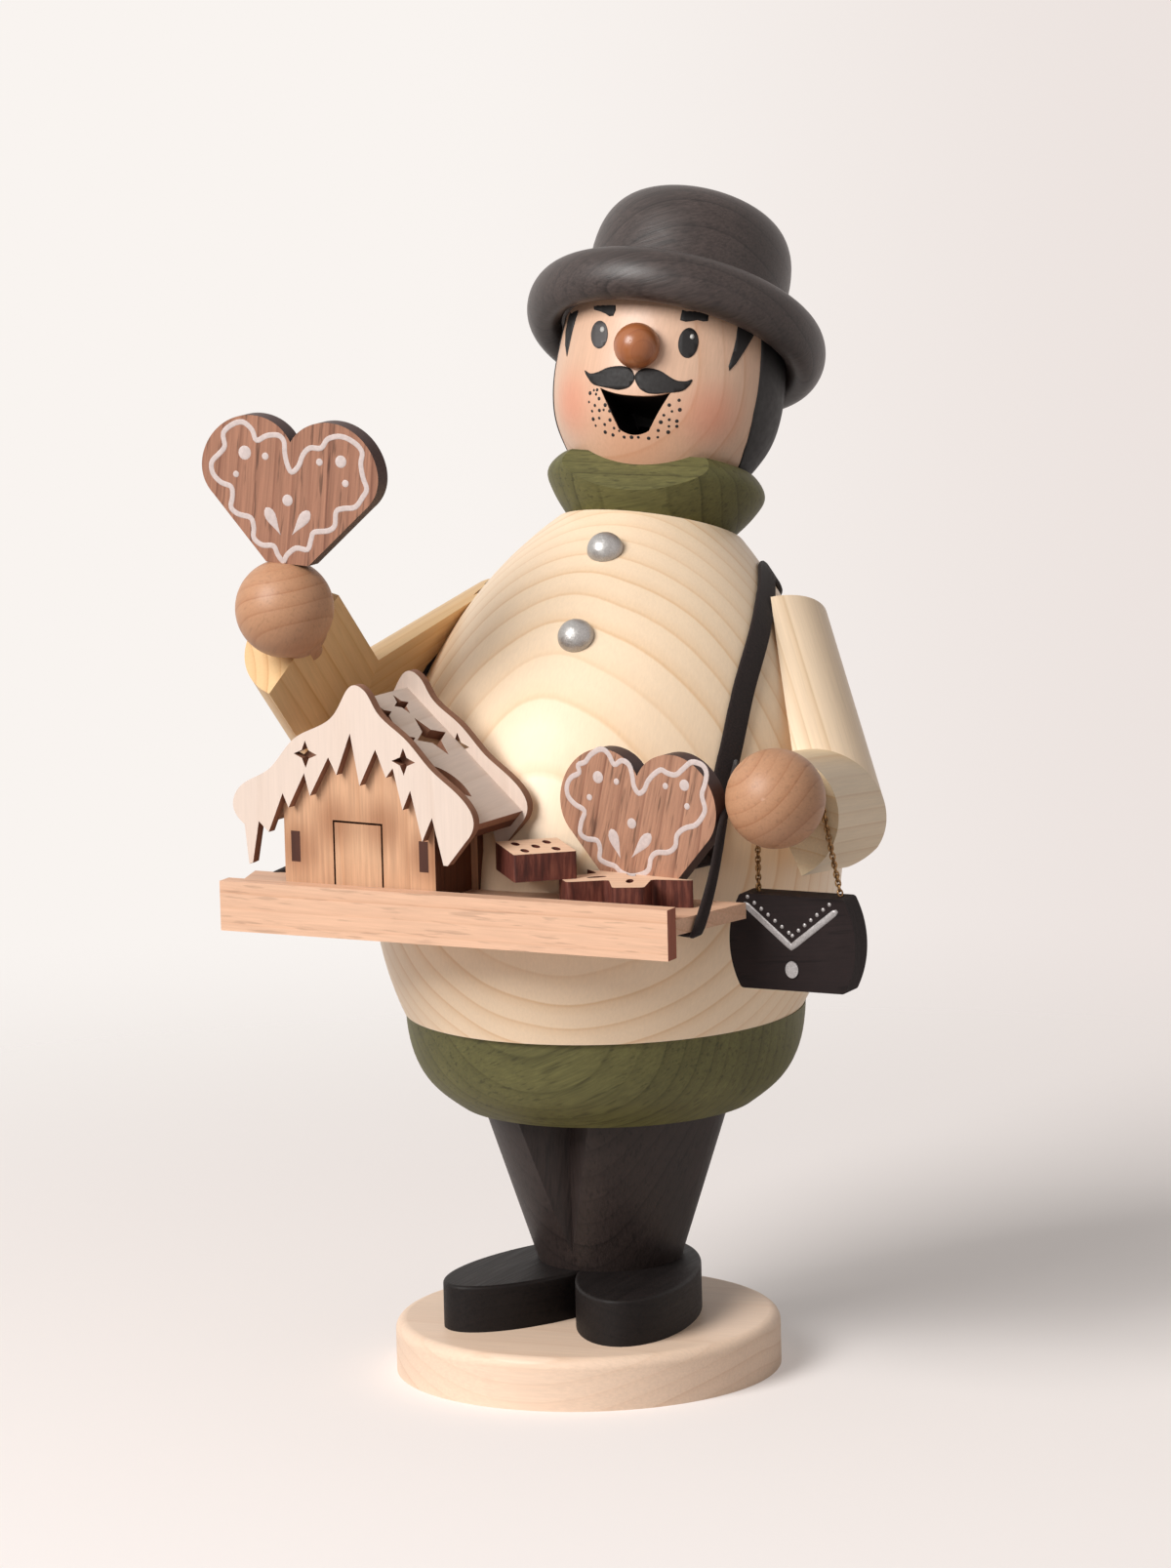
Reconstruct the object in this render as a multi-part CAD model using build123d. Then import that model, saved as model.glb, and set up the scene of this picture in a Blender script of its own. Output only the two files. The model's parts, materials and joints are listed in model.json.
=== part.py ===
from build123d import *
from math import cos, radians, sin, tan
import os

# Smoking figure of a tray seller, millimetres, +Z up, the figure faces -Y.
# The origin is the centre of the round base's underside.

# Fits shared by all pieces
running_clearance = 0.1
cut_overrun = 3.0

# Round base
base_radius = 33.0
base_height = 9.0
base_edge_round = 1.9

# Shoes
shoe_length = 45.6
shoe_width = 20.6
shoe_height = 8.0
shoe_offset = 9.0
shoe_back = 1.6
shoe_edge_round = 0.6
toe_splay_angle = 16.4

# Legs, one turned cone with a trouser crease
leg_height = 27.9
leg_bottom_radius = 12.4
leg_top_radius = 21.4
leg_axis_back = 9.2
leg_crease_front = 4.2
leg_crease_offset = 0.6
leg_crease_angle = 90
leg_dowel_radius = 4.0
leg_dowel_depth = 6.0

# Coat hem, a turned bowl that carries the incense plate
hem_height = 16.3
hem_radius = 34.3
hem_axis_back = 9.7
hem_profile_shares = [(0, 0.743), (0.067, 0.787), (0.25, 0.886), (0.497, 0.956), (0.742, 0.988), (1, 1)]
spigot_radius = 18.0
spigot_height = 5.0
spigot_edge_round = 0.8

# Incense plate
plate_radius = 13.0
plate_thickness = 0.8
plate_rim_height = 2.4
plate_pin_radius = 1.2
plate_pin_depth = 5.0
plate_pin_head_radius = 2.4
plate_pin_head_height = 0.8

# Torso, turned about an axis that leans back
lean_angle = 20
lean_origin_back = 2.8
torso_length = 84.0
torso_radius = 40.05
torso_profile_shares = [
    (-0.167, 0.569), (0, 0.838), (0.167, 0.968), (0.333, 1), (0.5, 0.956),
    (0.667, 0.851), (0.833, 0.684), (0.94, 0.52), (1, 0.402),
]
chamber_height = 36.0
chamber_edge_round = 8.0
duct_radius = 4.5
air_hole_radius = 2.5
air_hole_height = 10.0

# The face, the buttons and the chin cut are turned a little to the figure's left
face_turn_angle = 8.2

# Collar
collar_height = 10.9
collar_radius = 18.9
collar_profile_shares = [
    (0, 0.73), (0.27, 0.857), (0.545, 0.963), (0.73, 1), (0.91, 0.952), (1, 0.9),
]
collar_floor = 7.0
chin_cut_height = 3.6
chin_cut_front = 16.6
chin_cut_angle = 32

# Head
head_length = 28.1
head_radius = 19.9
head_profile_shares = [
    (0, 0.603), (0.071, 0.688), (0.214, 0.829), (0.356, 0.935), (0.498, 0.985),
    (0.64, 1), (0.783, 0.992), (1.3, 0.99),
]
mouth_width = 12.8
mouth_height = 7.5
mouth_bottom_height = 6.1
mouth_outline_shares = [(0.5, 1), (0.25, 0.87), (0, 0.84), (-0.25, 0.87), (-0.5, 1)]
mouth_chin_shares = [(-0.2, 0.11), (0, 0), (0.22, 0.11)]
duct_above_mouth = 5.0
nose_radius = 3.95
nose_height = 20.7
nose_peg_radius = 1.5
nose_peg_length = 6.0

# Hat
hat_lean_angle = 32.5
head_top_below_brim = 1.5
brim_ring_radius = 22.8
brim_half_width = 3.5
brim_half_height = 4.8
crown_height = 23.75
crown_radius = 17.6
crown_profile_shares = [(0.3, 1), (0.55, 0.99), (0.75, 0.935), (0.88, 0.82), (0.96, 0.64), (1, 0.38), (1, 0)]

# Buttons
button_radius = 3.1
button_height = 2.9
button_heights = [75.6, 58.6]
button_pin_radius = 0.6
button_pin_length = 5.0

# Arms, half-round sticks mitred at the elbow
arm_half_width = 10.5
elbow_round = 8.0
hand_radius = 8.2
hand_neck_radius = 4.6
hand_peg_radius = 2.0
hand_peg_depth = 5.0
shoulder_dowel_radius = 2.5
shoulder_dowel_length = 14.0
shoulder_dowel_depth = 4.0
shoulder_edge = 3.0

# The elbows' heights are above the seam
left_elbow = (40.4, 11.7, 35.5)
left_shoulder_direction = (-0.469, 0.465, 0.751)
left_outward_direction = (0.883, 0.225, 0.412)
left_bend_angle = 116
left_upper_length = 36.7
left_forearm_length = 32.0
left_shoulder_thickness = 5.5
left_hand_out = 3.5
left_hand_drop = -2.2
left_hand_gap = 1.9

right_elbow = (-33.6, -15.3, 50.1)
right_shoulder_direction = (0.234, 0.938, 0.255)
right_outward_direction = (-0.95, 0.163, 0.269)
right_bend_angle = 122.2
right_upper_length = 42.0
right_forearm_length = 26.5
right_shoulder_thickness = 9.0
right_hand_out = 1.5
right_hand_drop = -1.3
right_hand_gap = 0.2

# Gingerbread hearts
heart_width = 32.9
heart_height = 24.1
heart_thickness = 3.4
heart_foot_share = 0.12
heart_side_share = (0.43, 0.43)
heart_lobe_shares = [(0.5, 0.66), (0.42, 0.885), (0.24, 1), (0.085, 0.955)]
heart_notch_share = 0.84
heart_tilt_angle = 3.5
heart_across_hand = 1.7
heart_peg_radius = 1.0
heart_peg_depth = 3.0
heart_flat = 0.5
tray_heart_width = 31.0
tray_heart_height = 25.0
tray_heart_across_share = 0.3535
tray_heart_turn_angle = -9
tray_heart_inset = 3.4

# Tray
tray_width = 82.6
tray_board_height = 8.4
tray_board_thickness = 3.2
tray_above_seam = 20.1
tray_front = 46.0
tray_across = -2.5
tray_floor_thickness = 2.6
tray_floor_depth = 17.3
tray_floor_flare = 4.5
tray_floor_below_rim = 2.1

# Gingerbread on the tray
biscuit_thickness = 4.6
star_radius = 11.8
star_inner_share = 0.5
star_arm_half_width = 2.6
star_arms = 5
star_across_share = 0.3354
star_front = 30.9
star_turn_angle = 221
star_edge_round = 0.8
square_length = 13.4
square_width = 10.6
square_across_share = 0.1513
square_front = 35.4
square_turn_angle = -50
dent_length = 3.4
dent_width = 1.3
dent_depth = 0.5

# House of thin plywood
ply = 1.8
house_across_share = -0.2034
house_front = 43.0
house_turn_angle = -5
house_wall_across = -0.65
house_wall_half_width = 14.8
house_side_inset = 1.3
house_room_depth = 11.4
gable_width = 47.0
gable_height = 35.8
roof_half_span = 22.0
roof_ridge_height = 33.0
roof_eave_height = 13.6
gable_slope_shares = [
    (-0.472, 0.307), (-0.514, 0.433), (-0.492, 0.478), (-0.37, 0.57), (-0.249, 0.732), (-0.102, 0.83),
    (-0.06, 0.894), (0.011, 1), (0.047, 0.98), (0.094, 0.891), (0.209, 0.771), (0.317, 0.631),
    (0.436, 0.514), (0.485, 0.427), (0.455, 0.31),
]
gable_drip_shares = [
    (-0.457, 0.12), (-0.441, 0.13), (-0.411, 0.327), (-0.37, 0.279), (-0.306, 0.469), (-0.283, 0.402),
    (-0.213, 0.57), (-0.191, 0.466), (-0.109, 0.654), (-0.077, 0.573), (-0.015, 0.774), (0.019, 0.531),
    (0.089, 0.707), (0.13, 0.578), (0.16, 0.626), (0.196, 0.433), (0.23, 0.528), (0.274, 0.293),
    (0.317, 0.408), (0.36, 0.19), (0.377, 0.19),
]
gable_star_radius = 2.3
gable_star_share = (0.205, 0.66)
door_width = 9.1
door_height = 12.2
door_across = -0.9
door_kerf = 0.35
tab_height = 5.2
tab_bottom = 5.0
cut_star_inner_share = 0.42
roof_star_radius = 2.2
roof_star_shares = [(0.13, 0.28), (0.1, 0.62), (0.34, 0.27)]
roof_big_star_radius = 4.4
roof_big_star_share = (0.36, 0.62)
roof_leaf_length = 8.5
roof_leaf_width = 3.6
roof_leaf_angle = 20
roof_leaf_share = (0.68, 0.33)

# Strap of thin leather
strap_width = 6.0
strap_thickness = 0.9
strap_stand_off = 0.05
strap_neck_share = 0.9286
strap_top_across = 22.4
strap_mid_share = 0.6429
strap_mid_across = 31.0
strap_mid_front = 18.1
strap_leave_share = 0.2845
strap_leave_across = 32.0
strap_leave_front = 24.4
strap_end_width = 4.0
left_strap_end_share = 0.3208
right_strap_end_share = -0.4479
strap_tail_width = 3.0
strap_tail_share = 0.5
strap_tuck = 4.0

# Purse hanging from the left hand
purse_width = 22.6
purse_height = 15.8
purse_depth = 5.0
purse_bulge = 2.0
purse_across = 50.0
purse_front = 19.8
purse_above_seam = 11.5
purse_edge_round = 0.8
clasp_length = 2.8
clasp_width = 2.3
clasp_thickness = 0.3
clasp_height = 3.6
chain_thickness = 0.9
chain_left_inset = 2.3
chain_right_inset = 1.5
chain_slack = 0.3

# Heights and places worked out from the sizes above
shoe_top_height = base_height + shoe_height
hem_bottom_height = shoe_top_height + leg_height
seam_height = hem_bottom_height + hem_height
tray_bottom_height = seam_height + tray_above_seam
tray_rim_height = tray_bottom_height + tray_board_height
tray_top_height = tray_rim_height - tray_floor_below_rim
lean_back = sin(radians(lean_angle))
lean_up = cos(radians(lean_angle))
head_bottom = torso_length + collar_floor
hat_height = head_bottom + head_length
house_depth = 4 * ply + house_room_depth
strap_neck_height = strap_neck_share * torso_length
strap_mid_height = strap_mid_share * torso_length
strap_leave_height = strap_leave_share * torso_length
purse_bottom_height = seam_height + purse_above_seam


def tray_place(share):
    """A place across the tray, as a share of its width from its middle."""
    return tray_across + share * tray_width


def along_lean(distance):
    """A point on the leaning axis, a distance up from the seam."""
    return (0, lean_origin_back + distance * lean_back, seam_height + distance * lean_up)


def lean_plane(distance):
    """A plane square to the leaning axis; its Y points to the figure's back."""
    return Plane(origin=along_lean(distance), x_dir=(1, 0, 0), z_dir=(0, lean_back, lean_up))


def turned(length, radius, shares):
    """A solid of revolution about Z through (height share, radius share) points."""
    points = [(radius * across, length * up) for up, across in shares]
    top = points[-1][1]
    bottom = points[0][1]
    outline = Spline(*points)
    if points[-1][0] > 0:
        outline += Line(points[-1], (0, top))
    outline += Line((0, top), (0, bottom))
    outline += Line((0, bottom), points[0])
    return revolve(Plane.XZ * make_face(outline), Axis.Z)


def upright(radius, height):
    """A cylinder that stands on the XY plane."""
    return Cylinder(radius, height, align=(Align.CENTER, Align.CENTER, Align.MIN))


def block(width, depth, height):
    """A box that stands on the XY plane, centred in X and Y."""
    return Box(width, depth, height, align=(Align.CENTER, Align.CENTER, Align.MIN))


def make_base():
    disc = upright(base_radius, base_height)
    disc = fillet(disc.edges().group_by(Axis.Z)[-1], base_edge_round)
    hole = Pos(0, leg_axis_back, base_height - leg_dowel_depth) * upright(leg_dowel_radius, base_height)
    return disc - hole


def make_shoe(side):
    """One shoe: an oval block cut flat where it meets the other shoe."""
    oval = extrude(Ellipse(shoe_width / 2, shoe_length / 2), shoe_height)
    oval = fillet(oval.edges().group_by(Axis.Z)[-1], shoe_edge_round)
    oval = Pos(side * shoe_offset, shoe_back, base_height) * Rot(0, 0, side * toe_splay_angle) * oval
    half = Pos(side * shoe_length / 2, 0, base_height) * block(shoe_length, 2 * shoe_length, shoe_height)
    hole = Pos(0, leg_axis_back, base_height) * upright(leg_dowel_radius, shoe_height)
    return (oval & half) - hole


def make_legs():
    cone = Pos(0, leg_axis_back, shoe_top_height) * Cone(
        leg_bottom_radius, leg_top_radius, leg_height, align=(Align.CENTER, Align.CENTER, Align.MIN)
    )
    reach = leg_top_radius
    spread = reach * tan(radians(leg_crease_angle / 2))
    crease = extrude(make_face(Polyline((0, 0), (-spread, -reach), (spread, -reach), close=True)), leg_height)
    crease = Pos(-leg_crease_offset, -leg_crease_front, shoe_top_height) * crease
    hole = Pos(0, leg_axis_back, shoe_top_height) * upright(leg_dowel_radius, leg_dowel_depth)
    return cone - crease - hole


def make_leg_dowel():
    length = 2 * leg_dowel_depth + shoe_height
    return Pos(0, leg_axis_back, base_height - leg_dowel_depth) * upright(leg_dowel_radius, length)


def make_hem():
    bowl = Pos(0, 0, hem_bottom_height) * turned(hem_height, hem_radius, hem_profile_shares)
    spigot = upright(spigot_radius, spigot_height)
    spigot = chamfer(spigot.edges().group_by(Axis.Z)[-1], spigot_edge_round)
    bowl += Pos(0, 0, seam_height) * spigot
    pin_hole = Pos(0, 0, seam_height + spigot_height - plate_pin_depth) * upright(
        plate_pin_radius, plate_pin_depth
    )
    return Pos(0, hem_axis_back, 0) * (bowl - pin_hole)


def make_incense_plate():
    dish = upright(plate_radius, plate_rim_height)
    hollow = upright(plate_radius - plate_thickness, plate_rim_height)
    dish -= Pos(0, 0, plate_thickness) * hollow
    dish -= upright(plate_pin_radius, plate_thickness)
    return Pos(0, hem_axis_back, seam_height + spigot_height) * dish


def make_plate_pin():
    shank = upright(plate_pin_radius, plate_pin_depth + plate_thickness)
    head = Pos(0, 0, plate_pin_depth + plate_thickness) * upright(plate_pin_head_radius, plate_pin_head_height)
    return Pos(0, hem_axis_back, seam_height + spigot_height - plate_pin_depth) * (shank + head)


def torso_form(grown=0):
    """The torso's outer form, also used a little larger to seat pieces on it."""
    form = turned(torso_length, torso_radius + grown, torso_profile_shares)
    return lean_plane(0) * form


def make_torso():
    above_seam = Pos(0, 0, seam_height) * block(4 * torso_radius, 4 * torso_radius, 2 * torso_length)
    chamber = upright(spigot_radius + running_clearance, chamber_height)
    chamber = fillet(chamber.edges().group_by(Axis.Z)[-1], chamber_edge_round)
    duct_start = chamber_height / 2
    duct = lean_plane(duct_start) * upright(duct_radius, torso_length)
    air_hole = Pos(0, hem_axis_back, seam_height + air_hole_height) * Rot(-90, 0, 0)
    air_hole *= upright(air_hole_radius, torso_radius)
    torso = torso_form() & above_seam
    return torso - Pos(0, hem_axis_back, seam_height) * chamber - duct - air_hole


def head_blank():
    form = turned(head_length, head_radius, head_profile_shares)
    return lean_plane(head_bottom) * form


def make_collar():
    ring = lean_plane(0) * Pos(0, 0, torso_length) * turned(collar_height, collar_radius, collar_profile_shares)
    ring -= lean_plane(torso_length) * upright(duct_radius, collar_height)
    chin = Pos(0, 0, chin_cut_height) * Rot(0, 0, face_turn_angle) * Pos(0, -chin_cut_front, 0)
    chin *= Rot(-chin_cut_angle, 0, 0)
    chin *= Pos(0, -collar_radius / 2, 0) * Box(3 * collar_radius, collar_radius, 2 * collar_height)
    return ring - lean_plane(torso_length) * chin - head_blank()


def hat_plane():
    """The plane through the middle of the hat's rolled brim."""
    back = sin(radians(hat_lean_angle))
    up = cos(radians(hat_lean_angle))
    return Plane(origin=along_lean(hat_height), x_dir=(1, 0, 0), z_dir=(0, back, up))


def make_mouth_cutter():
    """The open mouth, a prism that runs back to the smoke duct."""
    top = [(mouth_width * x, mouth_height * z) for x, z in mouth_outline_shares]
    chin = [(mouth_width * x, mouth_height * z) for x, z in mouth_chin_shares]
    outline = Spline(*top)
    outline += Line(top[-1], chin[0])
    outline += Spline(*chin)
    outline += Line(chin[-1], top[0])
    prism = extrude(Plane.XZ * make_face(outline), head_radius + cut_overrun)
    return lean_plane(head_bottom) * Rot(0, 0, face_turn_angle) * Pos(0, 0, mouth_bottom_height) * prism


def head_top_cut():
    """What lies above the head's seat in the hat."""
    size = 4 * head_radius
    return hat_plane() * Pos(0, 0, -head_top_below_brim) * block(size, size, size)


def make_head():
    head = head_blank() - head_top_cut()
    duct_top = mouth_bottom_height + duct_above_mouth
    head -= lean_plane(head_bottom) * upright(duct_radius, duct_top)
    head -= make_mouth_cutter()
    head -= nose_place() * nose_peg(running_clearance)
    return head


def nose_place():
    """The nose ball's centre, its Z pointing back into the head."""
    turn = lean_plane(head_bottom + nose_height) * Rot(0, 0, face_turn_angle)
    return turn * Pos(0, -head_radius - nose_radius / 4, 0) * Rot(-90, 0, 0)


def nose_peg(grown=0):
    return upright(nose_peg_radius + grown, nose_peg_length)


def make_nose():
    ball = Sphere(nose_radius)
    nose = nose_place() * (ball + nose_peg())
    seat = lean_plane(head_bottom) * turned(head_length, head_radius, head_profile_shares)
    hole = nose_place() * nose_peg()
    return nose - (seat - hole)


def make_hat():
    brim = revolve(
        Plane.XZ * (Pos(brim_ring_radius, 0) * Ellipse(brim_half_width, brim_half_height)), Axis.Z
    )
    disc = Pos(0, 0, -brim_half_height / 2) * upright(brim_ring_radius, brim_half_height)
    crown = turned(crown_height, crown_radius, crown_profile_shares)
    stem = upright(crown_radius, crown_height * crown_profile_shares[0][0])
    hat = hat_plane() * (brim + disc + crown + stem)
    return hat - (head_blank() - head_top_cut())


def torso_radius_at(height):
    """The torso's radius at a height up its axis, read off its form."""
    probe = lean_plane(height) * Circle(2 * torso_radius)
    section = torso_form() & probe
    return section.bounding_box().size.X / 2


def button_place(height):
    """A plane on the torso's surface whose Z points out of the chest."""
    step = torso_length / 100
    radius = torso_radius_at(height)
    rise = torso_radius_at(height + step) - torso_radius_at(height - step)
    turn = lean_plane(height) * Rot(0, 0, face_turn_angle)
    outward = Plane(origin=(0, -radius, 0), x_dir=(1, 0, 0), z_dir=(0, -2 * step, -rise))
    return turn * outward.location


def make_button(height):
    dome = scale(Sphere(button_radius), (1, 1, button_height / button_radius))
    dome &= upright(button_radius, button_height)
    pin = Pos(0, 0, -button_pin_length) * upright(button_pin_radius, button_pin_length)
    return button_place(height) * (dome + pin)


def button_holes():
    pin = Pos(0, 0, -button_pin_length) * upright(button_pin_radius, button_pin_length)
    return [button_place(height) * pin for height in button_heights]


def arm_plane(elbow, shoulder_direction, outward_direction):
    """The elbow's frame: X towards the shoulder, Z out of the arm's round side."""
    across, back, above_seam = elbow
    origin = (across, back, seam_height + above_seam)
    return Plane(origin=origin, x_dir=shoulder_direction, z_dir=outward_direction)


def half_round(length):
    """A half-round stick along +X from the elbow, its flat side on the XY plane."""
    stick = Rot(0, 90, 0) * upright(arm_half_width, length)
    above = Pos(length / 2, 0, 0) * block(3 * length, 3 * arm_half_width, arm_half_width)
    return stick & above


def make_arm(plane, side, bend_angle, upper_length, forearm_length, shoulder_thickness):
    """The upper arm and the forearm, cut along the mitre of the bend."""
    start = 2 * arm_half_width
    upper = Pos(-start, 0, 0) * half_round(upper_length + start)
    fore = Rot(0, 0, side * bend_angle) * Pos(-start, 0, 0) * half_round(forearm_length + start)
    shoulder_side = mitre_side(side, bend_angle, 1)
    hand_side = mitre_side(side, bend_angle, -1)
    rounding = elbow_rounding(side, bend_angle)
    upper = (upper & shoulder_side) - rounding
    fore = (fore & hand_side) - rounding
    upper -= shoulder_planing(upper_length, shoulder_thickness)
    return plane.location * upper, plane.location * fore


def mitre_side(side, bend_angle, which):
    """A big box that fills one side of the mitre plane."""
    reach = 8 * arm_half_width
    turn = side * (bend_angle / 2 - which * 90)
    return Rot(0, 0, turn) * Pos(reach / 2, 0, 0) * Box(reach, 2 * reach, reach)


def elbow_rounding(side, bend_angle):
    """What is sanded off the outer corner of the elbow."""
    half_bend = radians(bend_angle / 2)
    corner = arm_half_width / sin(half_bend)
    centre = (arm_half_width - elbow_round) / sin(half_bend)
    tangent = centre + elbow_round * sin(half_bend)
    reach = 2 * (corner - tangent)
    wedge = Pos(-tangent - reach / 2, 0, 0) * Box(reach, 8 * arm_half_width, 4 * arm_half_width)
    core = Pos(-centre, 0, 0) * Cylinder(elbow_round, 4 * arm_half_width)
    return Rot(0, 0, side * bend_angle / 2) * (wedge - core)


def shoulder_planing(upper_length, shoulder_thickness):
    """The wedge planed off the flat side so that the arm seats on the body."""
    width = 4 * arm_half_width
    lost = arm_half_width - shoulder_thickness
    wedge = Polyline((0, 0), (upper_length + cut_overrun, 0), (upper_length + cut_overrun, lost), close=True)
    return Pos(0, width / 2, 0) * extrude(Plane.XZ * make_face(wedge), width)


def hand_place(plane, side, bend_angle, forearm_length, out, drop, gap):
    """The hand ball's centre, its Z pointing from the forearm's end to the ball."""
    reach = forearm_length + hand_radius + gap
    turn = plane.location * Rot(0, 0, side * bend_angle)
    return turn * Pos(reach, side * drop, out) * Rot(0, 90, 0)


def hand_peg(gap):
    length = hand_radius + gap + hand_peg_depth
    return Pos(0, 0, -length) * upright(hand_peg_radius, length)


def hand_ball(gap):
    """A hand: a ball with a short neck that meets the forearm and a peg in it."""
    neck = Pos(0, 0, -hand_radius - gap) * upright(hand_neck_radius, hand_radius)
    return Sphere(hand_radius) + neck + hand_peg(gap)


def heart_form(width, height):
    """A heart with a small flat foot on the XZ plane's origin, facing -Y."""
    right = [(width * x, height * z) for x, z in heart_lobe_shares]
    side = (width * heart_side_share[0], height * heart_side_share[1])
    foot = (width * heart_foot_share, 0)
    notch = (0, height * heart_notch_share)
    outline = Line((0, 0), foot) + Line(foot, side) + Spline(side, *right, notch)
    half = make_face(outline + Line(notch, (0, 0)))
    whole = half + mirror(half, Plane.YZ)
    return Pos(0, heart_thickness / 2, 0) * extrude(Plane.XZ * whole, heart_thickness)


def heart_peg_hole():
    return Pos(0, 0, -heart_peg_depth) * upright(heart_peg_radius, 2 * heart_peg_depth)


def raised_hand_place():
    plane = arm_plane(right_elbow, right_shoulder_direction, right_outward_direction)
    return hand_place(
        plane, -1, right_bend_angle, right_forearm_length, right_hand_out, right_hand_drop, right_hand_gap
    )


def lowered_hand_place():
    plane = arm_plane(left_elbow, left_shoulder_direction, left_outward_direction)
    return hand_place(plane, 1, left_bend_angle, left_forearm_length, left_hand_out, left_hand_drop, left_hand_gap)


def raised_heart_place():
    """The heart's foot on the flat sanded on top of the raised hand."""
    centre = raised_hand_place().position
    top = centre.Z + hand_radius - heart_flat
    return Pos(centre.X + heart_across_hand, centre.Y, top) * Rot(0, heart_tilt_angle, 0)


def make_left_arm():
    plane = arm_plane(left_elbow, left_shoulder_direction, left_outward_direction)
    upper, fore = make_arm(
        plane, 1, left_bend_angle, left_upper_length, left_forearm_length, left_shoulder_thickness
    )
    peg_hole = lowered_hand_place() * hand_peg(left_hand_gap)
    return seat_on_torso(upper) - shoulder_dowel(plane, left_upper_length, left_shoulder_thickness), fore - peg_hole


def make_right_arm():
    plane = arm_plane(right_elbow, right_shoulder_direction, right_outward_direction)
    upper, fore = make_arm(
        plane, -1, right_bend_angle, right_upper_length, right_forearm_length, right_shoulder_thickness
    )
    peg_hole = raised_hand_place() * hand_peg(right_hand_gap)
    return seat_on_torso(upper) - shoulder_dowel(plane, right_upper_length, right_shoulder_thickness), fore - peg_hole


def seat_on_torso(solid):
    """A piece hollowed where it lies against the torso."""
    return solid - torso_form(strap_stand_off)


def shoulder_dowel(plane, upper_length, shoulder_thickness):
    """A dowel from the upper arm's planed side into the torso."""
    place = plane.location * Pos(upper_length - 2 * shoulder_dowel_radius - shoulder_edge, 0, shoulder_thickness)
    return place * Pos(0, 0, shoulder_dowel_depth / 2 - shoulder_dowel_length) * upright(
        shoulder_dowel_radius, shoulder_dowel_length
    )


def make_left_dowel():
    plane = arm_plane(left_elbow, left_shoulder_direction, left_outward_direction)
    return shoulder_dowel(plane, left_upper_length, left_shoulder_thickness)


def make_right_dowel():
    plane = arm_plane(right_elbow, right_shoulder_direction, right_outward_direction)
    return shoulder_dowel(plane, right_upper_length, right_shoulder_thickness)


def make_lowered_hand():
    return lowered_hand_place() * hand_ball(left_hand_gap)


def make_raised_hand():
    ball = raised_hand_place() * hand_ball(right_hand_gap)
    above = raised_heart_place() * block(4 * hand_radius, 4 * hand_radius, hand_radius)
    return ball - above - raised_heart_place() * heart_peg_hole()


def make_raised_heart():
    heart = heart_form(heart_width, heart_height) - heart_peg_hole()
    return raised_heart_place() * heart


def make_heart_peg():
    return raised_heart_place() * heart_peg_hole()


def tray_floor_outline():
    """The tray floor behind its front board, flaring towards the belly."""
    half = tray_width / 2
    front = -tray_front + tray_board_thickness
    back = front + tray_floor_depth
    left = tray_across + half
    right = tray_across - half
    return Polyline(
        (right, front), (left, front), (left + tray_floor_flare, back), (right - tray_floor_flare, back), close=True
    )


def make_tray_board():
    board = Pos(tray_across, -tray_front + tray_board_thickness / 2, tray_bottom_height)
    return board * block(tray_width, tray_board_thickness, tray_board_height)


def make_tray_floor():
    floor = Pos(0, 0, tray_top_height - tray_floor_thickness) * extrude(
        make_face(tray_floor_outline()), tray_floor_thickness
    )
    return seat_on_torso(floor)


def tray_heart_place():
    back = -tray_front + tray_board_thickness + tray_floor_depth - tray_heart_inset
    return Pos(tray_place(tray_heart_across_share), back, tray_top_height) * Rot(0, 0, tray_heart_turn_angle)


def make_tray_heart():
    return tray_heart_place() * heart_form(tray_heart_width, tray_heart_height)


def dent(angle):
    """An oval dent pressed into gingerbread, pointing along an angle."""
    oval = extrude(Ellipse(dent_length / 2, dent_width / 2), 2 * dent_depth)
    return Rot(0, 0, angle) * oval


def make_star():
    """A gingerbread star with blunt arms, trimmed where the heart stands."""
    turn = 360 / star_arms
    inner = star_radius * star_inner_share
    points = []
    for arm in range(star_arms):
        tip = Rot(0, 0, arm * turn)
        notch = Rot(0, 0, (arm + 1 / 2) * turn)
        points.append((tip * Pos(star_radius, -star_arm_half_width)).position)
        points.append((tip * Pos(star_radius, star_arm_half_width)).position)
        points.append((notch * Pos(inner, 0)).position)
    star = extrude(make_face(Polyline(*points, close=True)), biscuit_thickness)
    star = fillet(star.edges().filter_by(Axis.Z), star_edge_round)
    for arm in range(star_arms):
        place = Rot(0, 0, arm * turn) * Pos(star_radius * star_inner_share, 0, biscuit_thickness - dent_depth)
        star -= place * dent(0)
    star -= Pos(0, 0, biscuit_thickness - dent_depth) * dent(90)
    star = Pos(tray_place(star_across_share), -star_front, tray_top_height) * Rot(0, 0, star_turn_angle) * star
    room = tray_heart_place() * Pos(0, star_radius - heart_thickness / 2, 0)
    return star - room * block(2 * tray_heart_width, 2 * star_radius, biscuit_thickness)


def make_square():
    tile = block(square_length, square_width, biscuit_thickness)
    tile = fillet(tile.edges().filter_by(Axis.Z), star_edge_round / 2)
    level = biscuit_thickness - dent_depth
    places = [(0, 0)]
    for x in (-1, 1):
        for y in (-1, 1):
            places.append((x, y))
    for x, y in places:
        tile -= Pos(x * square_length / 4, y * square_width / 4, level) * dent(0)
    place = Pos(tray_place(square_across_share), -square_front, tray_top_height + biscuit_thickness)
    return place * Rot(0, 0, square_turn_angle) * tile


def house_place(depth=0):
    """The house's frame: origin under the middle of its front gable, Y into the house."""
    return Pos(tray_place(house_across_share), -house_front, tray_top_height) * Rot(0, 0, house_turn_angle) * Pos(0, depth, 0)


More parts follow.
